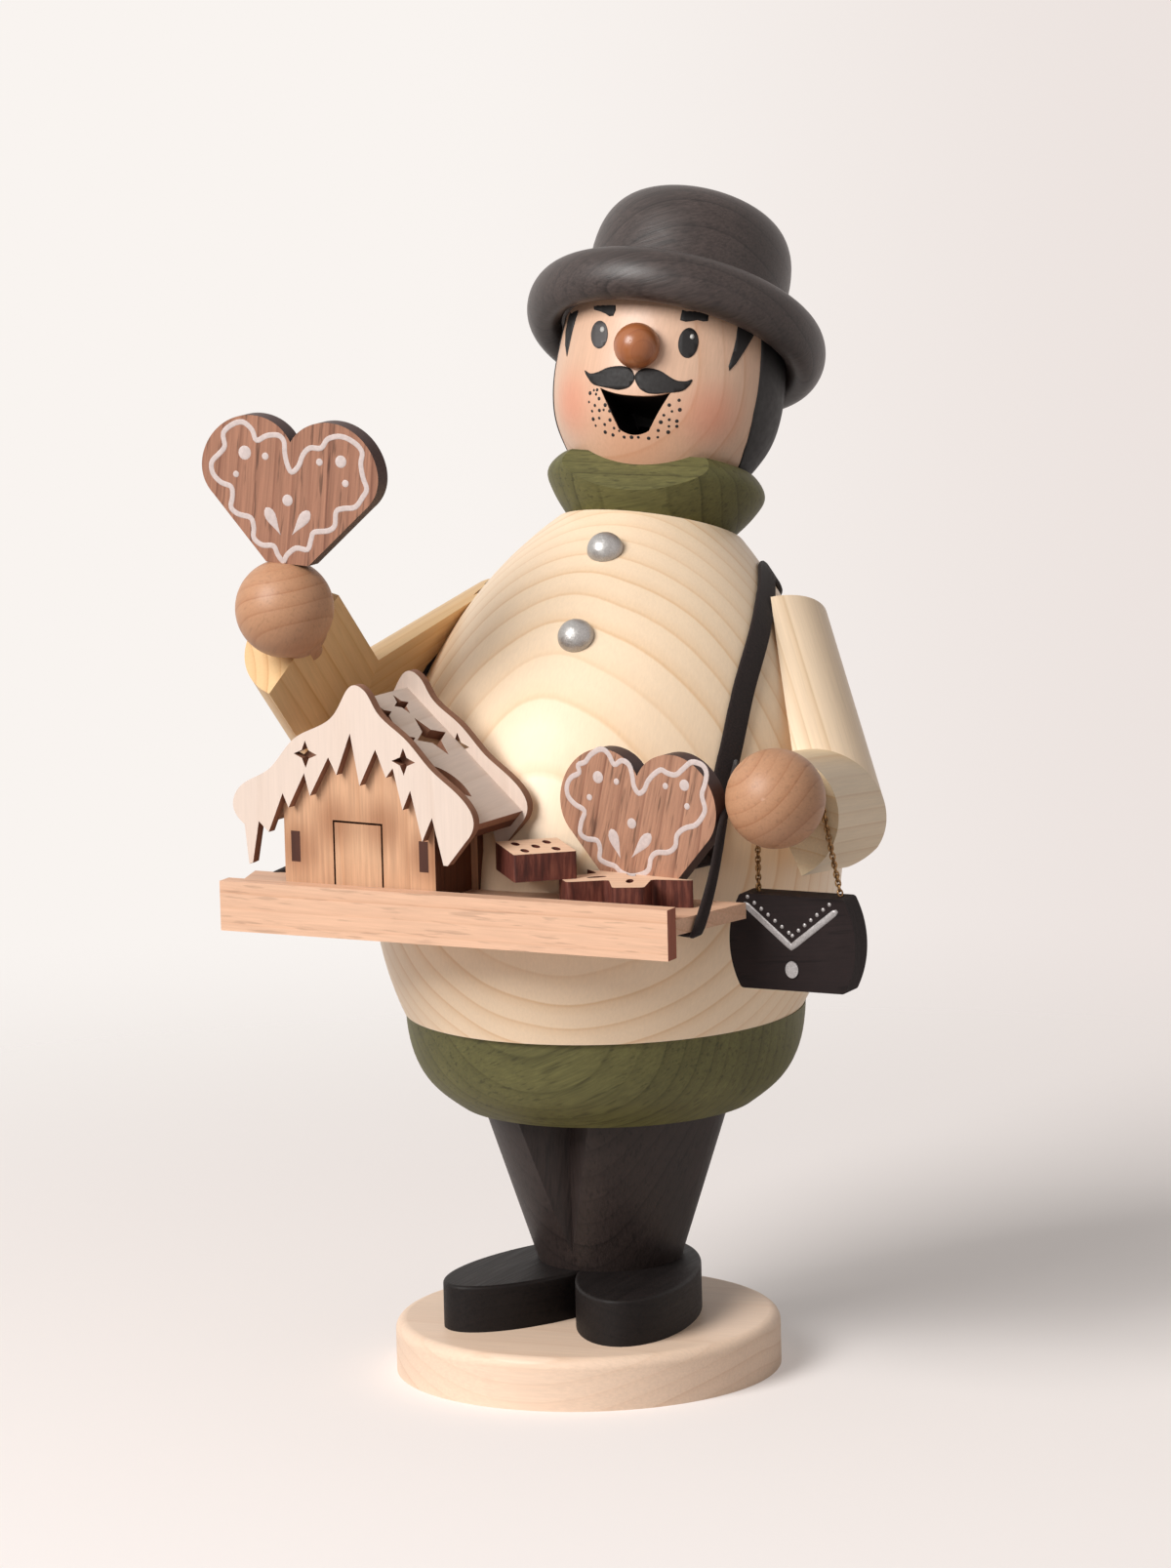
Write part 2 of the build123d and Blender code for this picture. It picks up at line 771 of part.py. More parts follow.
def upright_panel(outline, depth, thickness=None):
    """A panel cut from an outline in the XZ plane, its front at a depth in the house."""
    thickness = thickness or ply
    return house_place(depth + thickness) * extrude(Plane.XZ * make_face(outline), thickness)


def star_hole(radius):
    """A four-pointed star with hollow sides."""
    points = []
    for arm in range(4):
        points.append((Rot(0, 0, arm * 90) * Pos(radius, 0)).position)
        points.append((Rot(0, 0, arm * 90 + 45) * Pos(radius * cut_star_inner_share, 0)).position)
    return make_face(Polyline(*points, close=True))


def gable_face():
    """The snow gable: smooth slopes above, a row of drips below."""
    slope = [(gable_width * x, gable_height * z) for x, z in gable_slope_shares]
    drips = [(gable_width * x, gable_height * z) for x, z in gable_drip_shares]
    face = make_face(Spline(*slope) + Polyline(slope[0], *drips, slope[-1]))
    for side in (-1, 1):
        spot = Pos(side * gable_width * gable_star_share[0], gable_height * gable_star_share[1])
        face -= spot * star_hole(gable_star_radius)
    return face


def make_snow_gable(depth):
    panel = extrude(Plane.XZ * gable_face(), ply)
    return seat_on_torso(house_place(depth + ply) * panel)


def roof_slope():
    """The roof slope's run, rise and length."""
    run = roof_half_span
    rise = roof_ridge_height - roof_eave_height
    return run, rise, (run * run + rise * rise) ** 0.5


def roof_underside(across, depth_below):
    """The height of a roof layer's underside at a distance from the ridge line."""
    run, rise, length = roof_slope()
    return roof_ridge_height - depth_below * length / run - across * rise / run


def roof_layer(side, layer):
    """One roof panel, layer 0 above and layer 1 below it."""
    run, rise, length = roof_slope()
    above = layer * ply
    below = above + ply
    points = [
        (0, roof_underside(0, above)),
        (run - above * rise / length, roof_eave_height - above * run / length),
        (run - below * rise / length, roof_eave_height - below * run / length),
        (0, roof_underside(0, below)),
    ]
    outline = Polyline(*[(side * x, z) for x, z in points], close=True)
    return upright_panel(outline, ply, house_depth - 2 * ply)


def roof_place(side, down, along):
    """A spot on a roof panel's top: down the slope from the ridge, along the house."""
    run, rise, length = roof_slope()
    share = down / length
    x = side * run * share
    z = roof_ridge_height - rise * share
    plane = Plane(origin=(x, along, z), x_dir=(side * run, 0, -rise), z_dir=(side * rise, 0, run))
    return house_place() * plane.location


def roof_leaf():
    """A leaf hole, pointed at both ends."""
    half = roof_leaf_length / 2
    bulge = roof_leaf_width / 2
    outline = ThreePointArc((-half, 0), (0, bulge), (half, 0)) + ThreePointArc((half, 0), (0, -bulge), (-half, 0))
    return make_face(outline)


def make_snow_roof(side):
    """The upper roof panel with its cut stars and leaf."""
    panel = roof_layer(side, 0)
    length = roof_slope()[2]
    depth = house_depth
    holes = [(star_hole(roof_star_radius), share) for share in roof_star_shares]
    holes.append((star_hole(roof_big_star_radius), roof_big_star_share))
    holes.append((Rot(0, 0, side * roof_leaf_angle) * roof_leaf(), roof_leaf_share))
    for hole, (down_share, along_share) in holes:
        cutter = Pos(0, 0, -cut_overrun) * extrude(hole, 2 * cut_overrun)
        panel -= roof_place(side, length * down_share, depth * along_share) * cutter
    return panel


def wall_outline():
    """A gabled wall that fills the space under the roof."""
    left = house_wall_across + house_wall_half_width
    right = house_wall_across - house_wall_half_width
    ridge = (0, roof_underside(0, 2 * ply))
    left_eave = (left, roof_underside(left, 2 * ply))
    right_eave = (right, roof_underside(-right, 2 * ply))
    return Polyline((right, 0), (left, 0), left_eave, ridge, right_eave, close=True)


def house_box(across, depth, bottom, width, length, height):
    """A box in the house's frame, its front at a depth."""
    return house_place(depth + length / 2) * Pos(across, 0, bottom) * block(width, length, height)


def tab_across(side):
    return house_wall_across + side * (house_wall_half_width - house_side_inset - ply / 2)


def make_end_wall(depth):
    wall = upright_panel(wall_outline(), depth)
    for side in (-1, 1):
        wall -= house_box(tab_across(side), depth, tab_bottom, ply, ply, tab_height)
    return wall


def make_front_wall():
    width = door_width + 2 * door_kerf
    opening = house_box(door_across, ply, 0, width, ply, door_height + door_kerf)
    return make_end_wall(ply) - opening


def make_back_wall():
    return seat_on_torso(make_end_wall(house_depth - 2 * ply))


def make_side_wall(side):
    """A side wall with a tab at each end that shows in the end walls."""
    outer = side * house_wall_across + house_wall_half_width - house_side_inset
    inner = outer - ply
    points = [(inner, 0), (outer, 0), (outer, roof_underside(outer, 2 * ply)), (inner, roof_underside(inner, 2 * ply))]
    outline = Polyline(*[(side * x, z) for x, z in points], close=True)
    wall = upright_panel(outline, 2 * ply, house_room_depth)
    for depth in (ply, house_depth - 2 * ply):
        wall += house_box(tab_across(side), depth, tab_bottom, ply, ply, tab_height)
    return seat_on_torso(wall)


def make_door():
    return house_box(door_across, ply, 0, door_width, ply, door_height)


def ribbon(start, end, width, across_direction):
    """A straight flat run of strap between two points."""
    start = Vector(*start)
    end = Vector(*end)
    run = end - start
    plane = Plane(origin=start, x_dir=run, z_dir=Vector(*across_direction).cross(run))
    return plane.location * Pos(run.length / 2, 0, 0) * Box(run.length, width, strap_thickness)


def strap_spot(side, across, front, height):
    """A point of the strap given in the leaning frame."""
    return (lean_plane(height) * Pos(side * across, -front, 0)).position


def strap_slab(side):
    """The slice of space that one side of the strap lies in."""
    top = strap_spot(side, strap_top_across, 0, strap_neck_height)
    low = strap_spot(side, strap_leave_across, strap_leave_front, strap_leave_height)
    mid = strap_spot(side, strap_mid_across, strap_mid_front, strap_mid_height)
    down = low - top
    normal = down.cross(mid - top)
    plane = Plane(origin=(top + low) * 0.5, x_dir=down, z_dir=normal)
    return plane.location * Box(down.length + strap_width, torso_radius, strap_width)


def make_strap():
    """The strap round the back of the neck and down both sides of the chest."""
    shell = torso_form(strap_stand_off + strap_thickness) - torso_form(strap_stand_off)
    reach = 3 * torso_radius
    neck = lean_plane(strap_neck_height) * Pos(0, reach / 2, 0) * Box(reach, reach, strap_width)
    bands = shell & neck
    for side in (-1, 1):
        bands += shell & strap_slab(side)
    return bands


def make_strap_end(side):
    """The strap's broad end, from the chest forward to the tray's back edge."""
    start = strap_spot(side, strap_leave_across, strap_leave_front, strap_leave_height)
    back = -tray_front + tray_board_thickness + tray_floor_depth
    across = tray_place(left_strap_end_share if side > 0 else right_strap_end_share)
    end = (across, back + strap_thickness / 2, tray_top_height - tray_floor_thickness)
    run = ribbon(start, end, strap_end_width, (1, 0, 0))
    return seat_on_torso(run) - make_tray_floor()


def make_strap_tail(side):
    """The strap's narrow tail, laid over the tray's end and under its floor."""
    start = strap_spot(side, strap_leave_across, strap_leave_front, strap_leave_height)
    half = tray_width / 2
    back = -tray_front + tray_board_thickness + tray_floor_depth
    edge = tray_across + side * (half + tray_floor_flare * strap_tail_share + strap_thickness / 2)
    y = back - tray_floor_depth * (1 - strap_tail_share)
    over = Vector(edge, y, tray_top_height)
    under = Vector(edge, y, tray_top_height - tray_floor_thickness - strap_thickness)
    tuck = Vector(edge - side * strap_tuck, y, under.Z + strap_thickness / 2)
    tail = ribbon(start, over, strap_tail_width, (0, 1, 0)) + ribbon(over, under, strap_tail_width, (0, 1, 0))
    tail += ribbon(Vector(edge, y, tuck.Z), tuck, strap_tail_width, (0, 1, 0))
    return seat_on_torso(tail) - make_tray_floor()


def make_purse():
    """The purse block: flat front and back, bulging ends."""
    half = purse_width / 2 - purse_bulge
    bulge = purse_width / 2
    middle = purse_height / 2
    outline = Line((-half, 0), (half, 0))
    outline += ThreePointArc((half, 0), (bulge, middle), (half, purse_height))
    outline += Line((half, purse_height), (-half, purse_height))
    outline += ThreePointArc((-half, purse_height), (-bulge, middle), (-half, 0))
    purse = extrude(Plane.XZ * make_face(outline), purse_depth)
    purse = fillet(purse.edges().filter_by(Axis.Y), purse_edge_round)
    return Pos(purse_across, -purse_front + purse_depth / 2, purse_bottom_height) * purse


def make_clasp():
    """The small oval clasp on the purse's front."""
    oval = extrude(Ellipse(clasp_width / 2, clasp_length / 2), clasp_thickness)
    oval = Pos(purse_across, -purse_front - purse_depth / 2, purse_bottom_height + clasp_height) * Rot(90, 0, 0) * oval
    return oval


def wrist_place():
    """The middle of the peg between the forearm and the lowered hand, Z along the peg."""
    return lowered_hand_place() * Pos(0, 0, -hand_radius - left_hand_gap / 2)


def make_purse_chain():
    """The chain as a thin tube, over the wrist peg and down to both ends of the purse."""
    peg = wrist_place().z_axis
    side = Vector(0, 0, 1).cross(peg.direction).normalized()
    ring = hand_neck_radius + chain_slack + chain_thickness / 2
    top = purse_bottom_height + purse_height
    half = purse_width / 2 - purse_bulge
    inner = Vector(purse_across - half + chain_left_inset, -purse_front, top)
    outer = Vector(purse_across + half - chain_right_inset, -purse_front, top)
    rise = peg.direction.cross(side) * ring
    over = peg.position + rise
    near = peg.position - side * ring
    far = peg.position + side * ring
    arc = ThreePointArc(near, over, far)
    chain = sweep(Plane(origin=near, z_dir=arc % 0) * Circle(chain_thickness / 2), path=arc)
    for start, end in ((near, inner), (far, outer)):
        leg = Plane(origin=start, z_dir=end - start)
        chain += leg * upright(chain_thickness / 2, (end - start).length)
        chain += leg * Sphere(chain_thickness / 2)
    return chain


def main_solid(shape):
    """The largest solid of a cut shape, without its loose slivers."""
    return max(shape.solids(), key=lambda solid: solid.volume)


def make_nodes():
    left_upper, left_fore = make_left_arm()
    right_upper, right_fore = make_right_arm()
    left_dowel = make_left_dowel()
    right_dowel = make_right_dowel()
    torso = make_torso() - left_dowel - right_dowel
    for hole in button_holes():
        torso -= hole
    strap = make_strap()
    purse = make_purse()
    nodes = {
        "base_plate": make_base(),
        "left_shoe": make_shoe(1),
        "right_shoe": make_shoe(-1),
        "legs": make_legs(),
        "leg_dowel": make_leg_dowel(),
        "coat_hem": make_hem(),
        "incense_plate": make_incense_plate(),
        "incense_plate_pin": make_plate_pin(),
        "torso": torso,
        "collar": make_collar(),
        "head": make_head(),
        "nose": make_nose(),
        "hat": make_hat(),
        "upper_button": make_button(button_heights[0]),
        "lower_button": make_button(button_heights[1]),
        "left_upper_arm": left_upper - strap,
        "left_forearm": left_fore,
        "left_hand": make_lowered_hand(),
        "left_shoulder_dowel": left_dowel,
        "right_upper_arm": right_upper - strap,
        "right_forearm": right_fore,
        "right_hand": make_raised_hand(),
        "right_shoulder_dowel": right_dowel,
        "raised_heart": make_raised_heart(),
        "heart_peg": make_heart_peg(),
        "tray_board": make_tray_board(),
        "tray_floor": make_tray_floor(),
        "tray_heart": make_tray_heart(),
        "gingerbread_star": make_star(),
        "gingerbread_square": make_square(),
        "house_front_wall": make_front_wall(),
        "house_back_wall": make_back_wall(),
        "house_left_wall": make_side_wall(1),
        "house_right_wall": make_side_wall(-1),
        "house_door": make_door(),
        "house_left_roof": roof_layer(1, 1),
        "house_right_roof": roof_layer(-1, 1),
        "snow_left_roof": make_snow_roof(1),
        "snow_right_roof": make_snow_roof(-1),
        "snow_front_gable": make_snow_gable(0),
        "snow_back_gable": make_snow_gable(house_depth - ply) - right_fore,
        "strap": strap - left_dowel - right_dowel,
        "purse": purse,
        "purse_clasp": make_clasp(),
        "purse_chain": make_purse_chain() - purse,
    }
    for side, name in ((1, "left"), (-1, "right")):
        end = main_solid(make_strap_end(side) - strap)
        nodes[f"{name}_strap_end"] = end
        nodes[f"{name}_strap_tail"] = main_solid(make_strap_tail(side) - strap - end)
    return nodes


def main():
    os.makedirs("parts", exist_ok=True)
    for name, solid in make_nodes().items():
        export_step(solid, f"parts/{name}.step")


main()
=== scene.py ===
import json
from math import cos, pi, radians, sin

import bmesh
import bpy
from mathutils import Euler, Matrix, Vector
from mathutils.bvhtree import BVHTree


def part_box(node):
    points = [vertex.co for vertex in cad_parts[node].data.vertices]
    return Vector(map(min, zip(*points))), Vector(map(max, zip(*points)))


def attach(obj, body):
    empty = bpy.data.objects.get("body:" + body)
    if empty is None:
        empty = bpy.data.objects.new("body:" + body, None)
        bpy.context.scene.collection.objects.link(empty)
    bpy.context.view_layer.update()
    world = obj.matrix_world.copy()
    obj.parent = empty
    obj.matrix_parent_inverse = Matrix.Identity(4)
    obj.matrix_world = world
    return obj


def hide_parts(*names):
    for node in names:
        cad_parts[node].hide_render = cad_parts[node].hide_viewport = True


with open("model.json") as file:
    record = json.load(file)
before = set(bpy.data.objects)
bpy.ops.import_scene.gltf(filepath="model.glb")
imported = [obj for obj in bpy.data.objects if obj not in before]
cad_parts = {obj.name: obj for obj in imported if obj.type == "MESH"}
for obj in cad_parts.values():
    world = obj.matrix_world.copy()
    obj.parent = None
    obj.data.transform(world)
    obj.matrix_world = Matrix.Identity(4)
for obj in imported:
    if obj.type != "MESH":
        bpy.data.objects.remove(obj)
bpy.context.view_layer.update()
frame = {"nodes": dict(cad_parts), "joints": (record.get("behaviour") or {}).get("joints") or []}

MM = 0.001

# The photograph's camera, in metres and degrees
photo_size = (1200, 1607)
focal_pixels = 7259.25
camera_place = Vector((0.52574, -1.05987, 0.30156))
camera_azimuth = 26.3
camera_down = 9.628
camera_roll = 1.376
sensor_long_side = 36.0

# The leaning axis of the torso and the head
lean = radians(20)
lean_origin = Vector((0, 2.8 * MM, 61.2 * MM))
lean_up = Vector((0, sin(lean), cos(lean)))
lean_front = Vector((0, -cos(lean), sin(lean)))
face_turn = radians(8.2)


def camera_axes():
    """The camera's right, up and forward directions in the frame."""
    turn = radians(camera_azimuth)
    down = radians(camera_down)
    forward = Vector((-sin(turn) * cos(down), cos(turn) * cos(down), -sin(down)))
    right = Vector((cos(turn), sin(turn), 0))
    up = right.cross(forward)
    roll = radians(camera_roll)
    return cos(roll) * right - sin(roll) * up, sin(roll) * right + cos(roll) * up, forward


camera_right, camera_up, camera_forward = camera_axes()


def pixel_ray(pixel):
    """The direction that a pixel of the photograph looks along."""
    across = (pixel[0] - photo_size[0] / 2) / focal_pixels
    above = (photo_size[1] / 2 - pixel[1]) / focal_pixels
    return (camera_forward + across * camera_right + above * camera_up).normalized()


def pixel_on_plane(pixel, point, normal):
    """Where a pixel's ray meets a plane."""
    direction = pixel_ray(pixel)
    return camera_place + direction * ((point - camera_place).dot(normal) / direction.dot(normal))


def leaning_point(angle, radius, height):
    """A point round the leaning axis; angle 0 is in front, positive to the figure's left."""
    around = lean_front * (radius * cos(angle)) + Vector((radius * sin(angle), 0, 0))
    return lean_origin + lean_up * height + around


def make_camera():
    data = bpy.data.cameras.new("camera")
    data.sensor_fit = "VERTICAL"
    data.sensor_height = sensor_long_side
    data.lens = focal_pixels * sensor_long_side / photo_size[1]
    data.clip_start = 0.01
    data.clip_end = 100
    camera = bpy.data.objects.new("camera", data)
    axes = Matrix((camera_right, camera_up, -camera_forward)).transposed()
    camera.matrix_world = Matrix.Translation(camera_place) @ axes.to_4x4()
    bpy.context.scene.collection.objects.link(camera)
    bpy.context.scene.camera = camera


# Colours

def srgb(red, green, blue):
    """A linear colour from an 8-bit display colour."""
    values = []
    for value in (red, green, blue):
        share = value / 255
        values.append(share / 12.92 if share <= 0.04045 else ((share + 0.055) / 1.055) ** 2.4)
    return (*values, 1)


# Material building

class Nodes:
    """A node tree, of a new material or of the world, with short calls for adding and joining nodes."""

    def __init__(self, name, world=None):
        self.material = world or bpy.data.materials.new(name)
        self.material.use_nodes = True
        self.tree = self.material.node_tree
        self.shader = self.tree.nodes.get("Principled BSDF")

    def add(self, kind, inputs=None, **settings):
        node = self.tree.nodes.new("ShaderNode" + kind)
        for key, value in settings.items():
            setattr(node, key, value)
        for key, value in (inputs or {}).items():
            self.join(node.inputs[key], value)
        return node

    def join(self, socket, value):
        if isinstance(value, bpy.types.NodeSocket):
            self.tree.links.new(value, socket)
        else:
            socket.default_value = value

    def place(self):
        return self.add("TexCoord").outputs["Object"]

    def math(self, operation, first, second=0.0):
        return self.add("Math", {0: first, 1: second}, operation=operation).outputs[0]

    def vector(self, operation, first, second=(0, 0, 0)):
        node = self.add("VectorMath", {0: first, 1: second}, operation=operation)
        scalar = operation in ("LENGTH", "DOT_PRODUCT", "DISTANCE")
        return node.outputs["Value" if scalar else "Vector"]

    def noise(self, vector, scale, detail=3.0, roughness=0.5):
        inputs = {"Vector": vector, "Scale": scale, "Detail": detail, "Roughness": roughness}
        return self.add("TexNoise", inputs).outputs["Fac"]

    def ramp(self, value, stops):
        node = self.add("ValToRGB", {"Fac": value})
        elements = node.color_ramp.elements
        while len(elements) < len(stops):
            elements.new(0.5)
        for element, (position, colour) in zip(elements, stops):
            element.position = position
            element.color = colour if len(colour) == 4 else (*colour, 1)
        return node.outputs["Color"]

    def grey(self, value, stops):
        return self.ramp(value, [(position, (level, level, level, 1)) for position, level in stops])

    def mix(self, factor, first, second, blend="MIX"):
        node = self.add("Mix", data_type="RGBA", blend_type=blend)
        self.join(node.inputs["Factor"], factor)
        self.join(node.inputs[6], first)
        self.join(node.inputs[7], second)
        return node.outputs[2]

    def eased(self, value, start, end, low=0.0, high=1.0):
        """A smooth change from low to high while the value goes from start to end."""
        inputs = {"Value": value, "From Min": start, "From Max": end, "To Min": low, "To Max": high}
        return self.add("MapRange", inputs, interpolation_type="SMOOTHSTEP").outputs["Result"]

    def bump(self, height, distance, strength=1.0):
        node = self.add("Bump", {"Height": height, "Distance": distance, "Strength": strength})
        self.join(self.shader.inputs["Normal"], node.outputs["Normal"])

    def set(self, **values):
        names = {"colour": "Base Color", "roughness": "Roughness", "metallic": "Metallic", "coat": "Coat Weight",
                 "coat_roughness": "Coat Roughness", "sheen": "Sheen Weight", "specular": "Specular IOR Level"}
        for key, value in values.items():
            self.join(self.shader.inputs[names[key]], value)


def along(direction):
    """The turn that takes a direction to Z."""
    return Vector(direction).normalized().rotation_difference(Vector((0, 0, 1))).to_euler()


ring_line = [(0.0, 0.05), (0.5, 0.1), (0.83, 0.45), (0.94, 1.0), (0.98, 0.5), (1.0, 0.05)]
ring_wave_scale = 22.0
ring_wave_reach = 6 * MM
fibre_scale = 2600.0
blotch_scale = 60.0
fleck_scale = 1500.0


def wood_colour(nodes, early, late, spacing, pith, grain, waver=1.0, depth=0.75, fibre=0.12, flecks=0.0):
    """Growth rings round a pith line, with fibres and flecks along the grain; gives the colour and the fibres."""
    shifted = nodes.vector("SUBTRACT", nodes.place(), Vector(pith) * MM)
    turned = nodes.add("Mapping", {"Vector": shifted, "Rotation": along(grain)}).outputs["Vector"]
    slow = nodes.vector("MULTIPLY", turned, (1, 1, 0.25))
    waves = nodes.noise(slow, ring_wave_scale, 2.0)
    distance = nodes.vector("LENGTH", nodes.vector("MULTIPLY", turned, (1, 1, 0)))
    waved = nodes.math("ADD", distance, nodes.math("MULTIPLY", waves, ring_wave_reach * waver))
    rings = nodes.math("DIVIDE", waved, spacing * MM)
    share = nodes.math("FRACT", rings)
    number = nodes.math("FLOOR", rings)
    uneven = nodes.add("TexWhiteNoise", {"W": number}, noise_dimensions="1D").outputs["Value"]
    line = nodes.grey(share, ring_line)
    strength = nodes.math("MULTIPLY", line, nodes.math("ADD", nodes.math("MULTIPLY", uneven, 0.55), depth - 0.3))
    body = nodes.mix(strength, early, late)
    fibres = nodes.noise(nodes.vector("MULTIPLY", turned, (1, 1, 0.03)), fibre_scale, 4.0, 0.65)
    fibre_tone = nodes.grey(fibres, [(0.3, 1 - fibre), (0.7, 1.0)])
    blotch = nodes.grey(nodes.noise(slow, blotch_scale, 3.0), [(0.3, 0.93), (0.7, 1.0)])
    tone = nodes.mix(1.0, fibre_tone, blotch, "MULTIPLY")
    if flecks:
        spots = nodes.noise(nodes.vector("MULTIPLY", turned, (1, 1, 0.09)), fleck_scale, 2.0)
        tone = nodes.mix(1.0, tone, nodes.grey(spots, [(0.58, 1.0), (0.68, 1 - flecks)]), "MULTIPLY")
    return nodes.mix(1.0, body, tone, "MULTIPLY"), fibres


def wood(name, early, late, spacing, pith, grain, roughness=0.5, coat=0.0, **look):
    """A clear-finished wood."""
    nodes = Nodes(name)
    colour, fibres = wood_colour(nodes, early, late, spacing, pith, grain, **look)
    nodes.set(colour=colour, roughness=roughness, coat=coat, coat_roughness=0.25, specular=0.4)
    nodes.bump(fibres, 0.03 * MM, 0.35)
    return nodes.material


def facing(nodes, direction):
    """1 on faces that look along a direction or against it, 0 on the others."""
    normal = nodes.add("TexCoord").outputs["Normal"]
    turned = nodes.math("ABSOLUTE", nodes.vector("DOT_PRODUCT", normal, direction))
    return nodes.grey(turned, [(0.6, 0.0), (0.75, 1.0)])


scorch_colour = srgb(132, 78, 46)
scorch_strength = 0.55
scorch_core = 0.8 * MM
scorch_reach = 6.5 * MM


def tinted(nodes, colour, spot, inner, outer, strength, tint):
    """A colour that turns to a tint near a point of the frame and keeps its own further out."""
    away = nodes.vector("DISTANCE", nodes.place(), spot)
    share = nodes.math("MULTIPLY", nodes.eased(away, inner, outer, 1.0, 0.0), strength)
    return nodes.mix(share, colour, tint)


def cut_sheet(name, early, late, spacing, grain, front, burnt, pith, roughness=0.6, swap_faces=False, scorched=(),
              **look):
    """Sawn or laser-cut wood with burnt cuts: its own colour shows on the faces that look along front.

    With swap_faces those are the burnt ones. The wood is darker round each scorched spot.
    """
    nodes = Nodes(name)
    colour, fibres = wood_colour(nodes, early, late, spacing, pith, grain, **look)
    streaks = nodes.noise(nodes.vector("MULTIPLY", nodes.place(), (1, 1, 0.08)), 1500.0, 3.0)
    edge = nodes.mix(streaks, burnt, tuple(value * 1.9 for value in burnt[:3]) + (1,))
    for spot in scorched:
        colour = tinted(nodes, colour, spot, scorch_core, scorch_reach, scorch_strength, scorch_colour)
    first, second = (colour, edge) if swap_faces else (edge, colour)
    nodes.set(colour=nodes.mix(facing(nodes, front), first, second), roughness=roughness, specular=0.3)
    nodes.bump(fibres, 0.04 * MM, 0.4)
    return nodes.material


def biscuit(name, top_height, pith):
    """Gingerbread of laser-cut wood: a pale top, dark burnt sides and dents."""
    nodes = Nodes(name)
    colour, fibres = wood_colour(nodes, srgb(244, 206, 176), srgb(216, 170, 136), 1.6, pith, (1, 0.3, 0))
    height = nodes.add("SeparateXYZ", {0: nodes.place()}).outputs["Z"]
    on_top = nodes.math("GREATER_THAN", height, (top_height - 0.12) * MM)
    level = nodes.add("SeparateXYZ", {0: nodes.add("TexCoord").outputs["Normal"]}).outputs["Z"]
    top = nodes.math("MULTIPLY", on_top, nodes.math("GREATER_THAN", level, 0.7))
    streaks = nodes.noise(nodes.vector("MULTIPLY", nodes.place(), (1, 1, 0.12)), 1400.0, 4.0, 0.6)
    side = nodes.ramp(streaks, [(0.3, srgb(58, 25, 20)), (0.5, srgb(88, 43, 34)), (0.7, srgb(122, 70, 56))])
    nodes.set(colour=nodes.mix(top, side, colour), roughness=0.6, specular=0.3)
    nodes.bump(fibres, 0.04 * MM, 0.4)
    return nodes.material


def paint(name, colour, roughness, relief=0.03, scale=900.0):
    """Brushed or dabbed paint with a little unevenness."""
    nodes = Nodes(name)
    patches = nodes.noise(nodes.place(), scale, 3.0, 0.6)
    tone = nodes.grey(patches, [(0.3, 0.82), (0.7, 1.0)])
    nodes.set(colour=nodes.mix(1.0, colour, tone, "MULTIPLY"), specular=0.45)
    nodes.set(roughness=nodes.grey(patches, [(0.3, roughness), (0.7, roughness + 0.12)]))
    nodes.bump(patches, relief * MM, 0.5)
    return nodes.material


def silver(name, colour, roughness=0.38, relief=0.12):
    """Silver paint with small dents."""
    nodes = Nodes(name)
    dents = nodes.noise(nodes.place(), 900.0, 2.0, 0.5)
    specks = nodes.noise(nodes.place(), 5200.0, 2.0, 0.6)
    nodes.set(colour=nodes.mix(1.0, colour, nodes.grey(specks, [(0.35, 0.72), (0.65, 1.0)]), "MULTIPLY"))
    nodes.set(metallic=0.75, roughness=nodes.grey(specks, [(0.3, roughness), (0.7, roughness + 0.15)]))
    nodes.bump(dents, relief * MM, 0.6)
    return nodes.material


def stained(name, tones, spacing, pith, grain, roughness=0.5, coat=0.0, relief=0.05, fibre=0.35, specular=0.3):
    """Wood under a dark stain that leaves the grain to be seen."""
    nodes = Nodes(name)
    low, high = tones
    colour, fibres = wood_colour(nodes, high, low, spacing, pith, grain, depth=0.55, fibre=fibre, flecks=0.35)
    cloud = nodes.noise(nodes.place(), 110.0, 4.0, 0.6)
    worn = nodes.mix(1.0, colour, nodes.grey(cloud, [(0.3, 0.7), (0.7, 1.0)]), "MULTIPLY")
    nodes.set(colour=worn, coat=coat, coat_roughness=0.35, specular=specular)
    nodes.set(roughness=nodes.grey(fibres, [(0.3, roughness), (0.7, roughness + 0.14)]))
    nodes.bump(fibres, relief * MM, 0.5)
    return nodes.material


def leather(name):
    """Thin black leather with a napped face."""
    nodes = Nodes(name)
    nap = nodes.noise(nodes.place(), 3200.0, 4.0, 0.7)
    nodes.set(colour=nodes.ramp(nap, [(0.3, srgb(18, 11, 11)), (0.72, srgb(42, 31, 29))]))
    nodes.set(roughness=0.85, sheen=0.1, specular=0.2)
    nodes.bump(nap, 0.12 * MM, 0.6)
    return nodes.material


# Surfaces that painted details lie on

def node_tree(name):
    """A search tree of a CAD node's faces."""
    mesh = frame["nodes"][name].data
    return BVHTree.FromPolygons([v.co for v in mesh.vertices], [p.vertices for p in mesh.polygons])


head_tree = node_tree("head")
torso_tree = node_tree("torso")
head_bottom = 91.2
head_top = 119.5
head_uncut_turn = radians(60)
head_usual_radius = 19 * MM


def head_radius(height):
    """The head's radius at a height, measured at its side where nothing is cut out of it."""
    height = min(height, head_top)
    angle = face_turn + head_uncut_turn
    start = leaning_point(angle, 40 * MM, height * MM)
    axis = leaning_point(0, 0, height * MM)
    hit = head_tree.ray_cast(start, (axis - start).normalized())[0]
    return (hit - axis).length if hit else head_usual_radius


# Mesh building

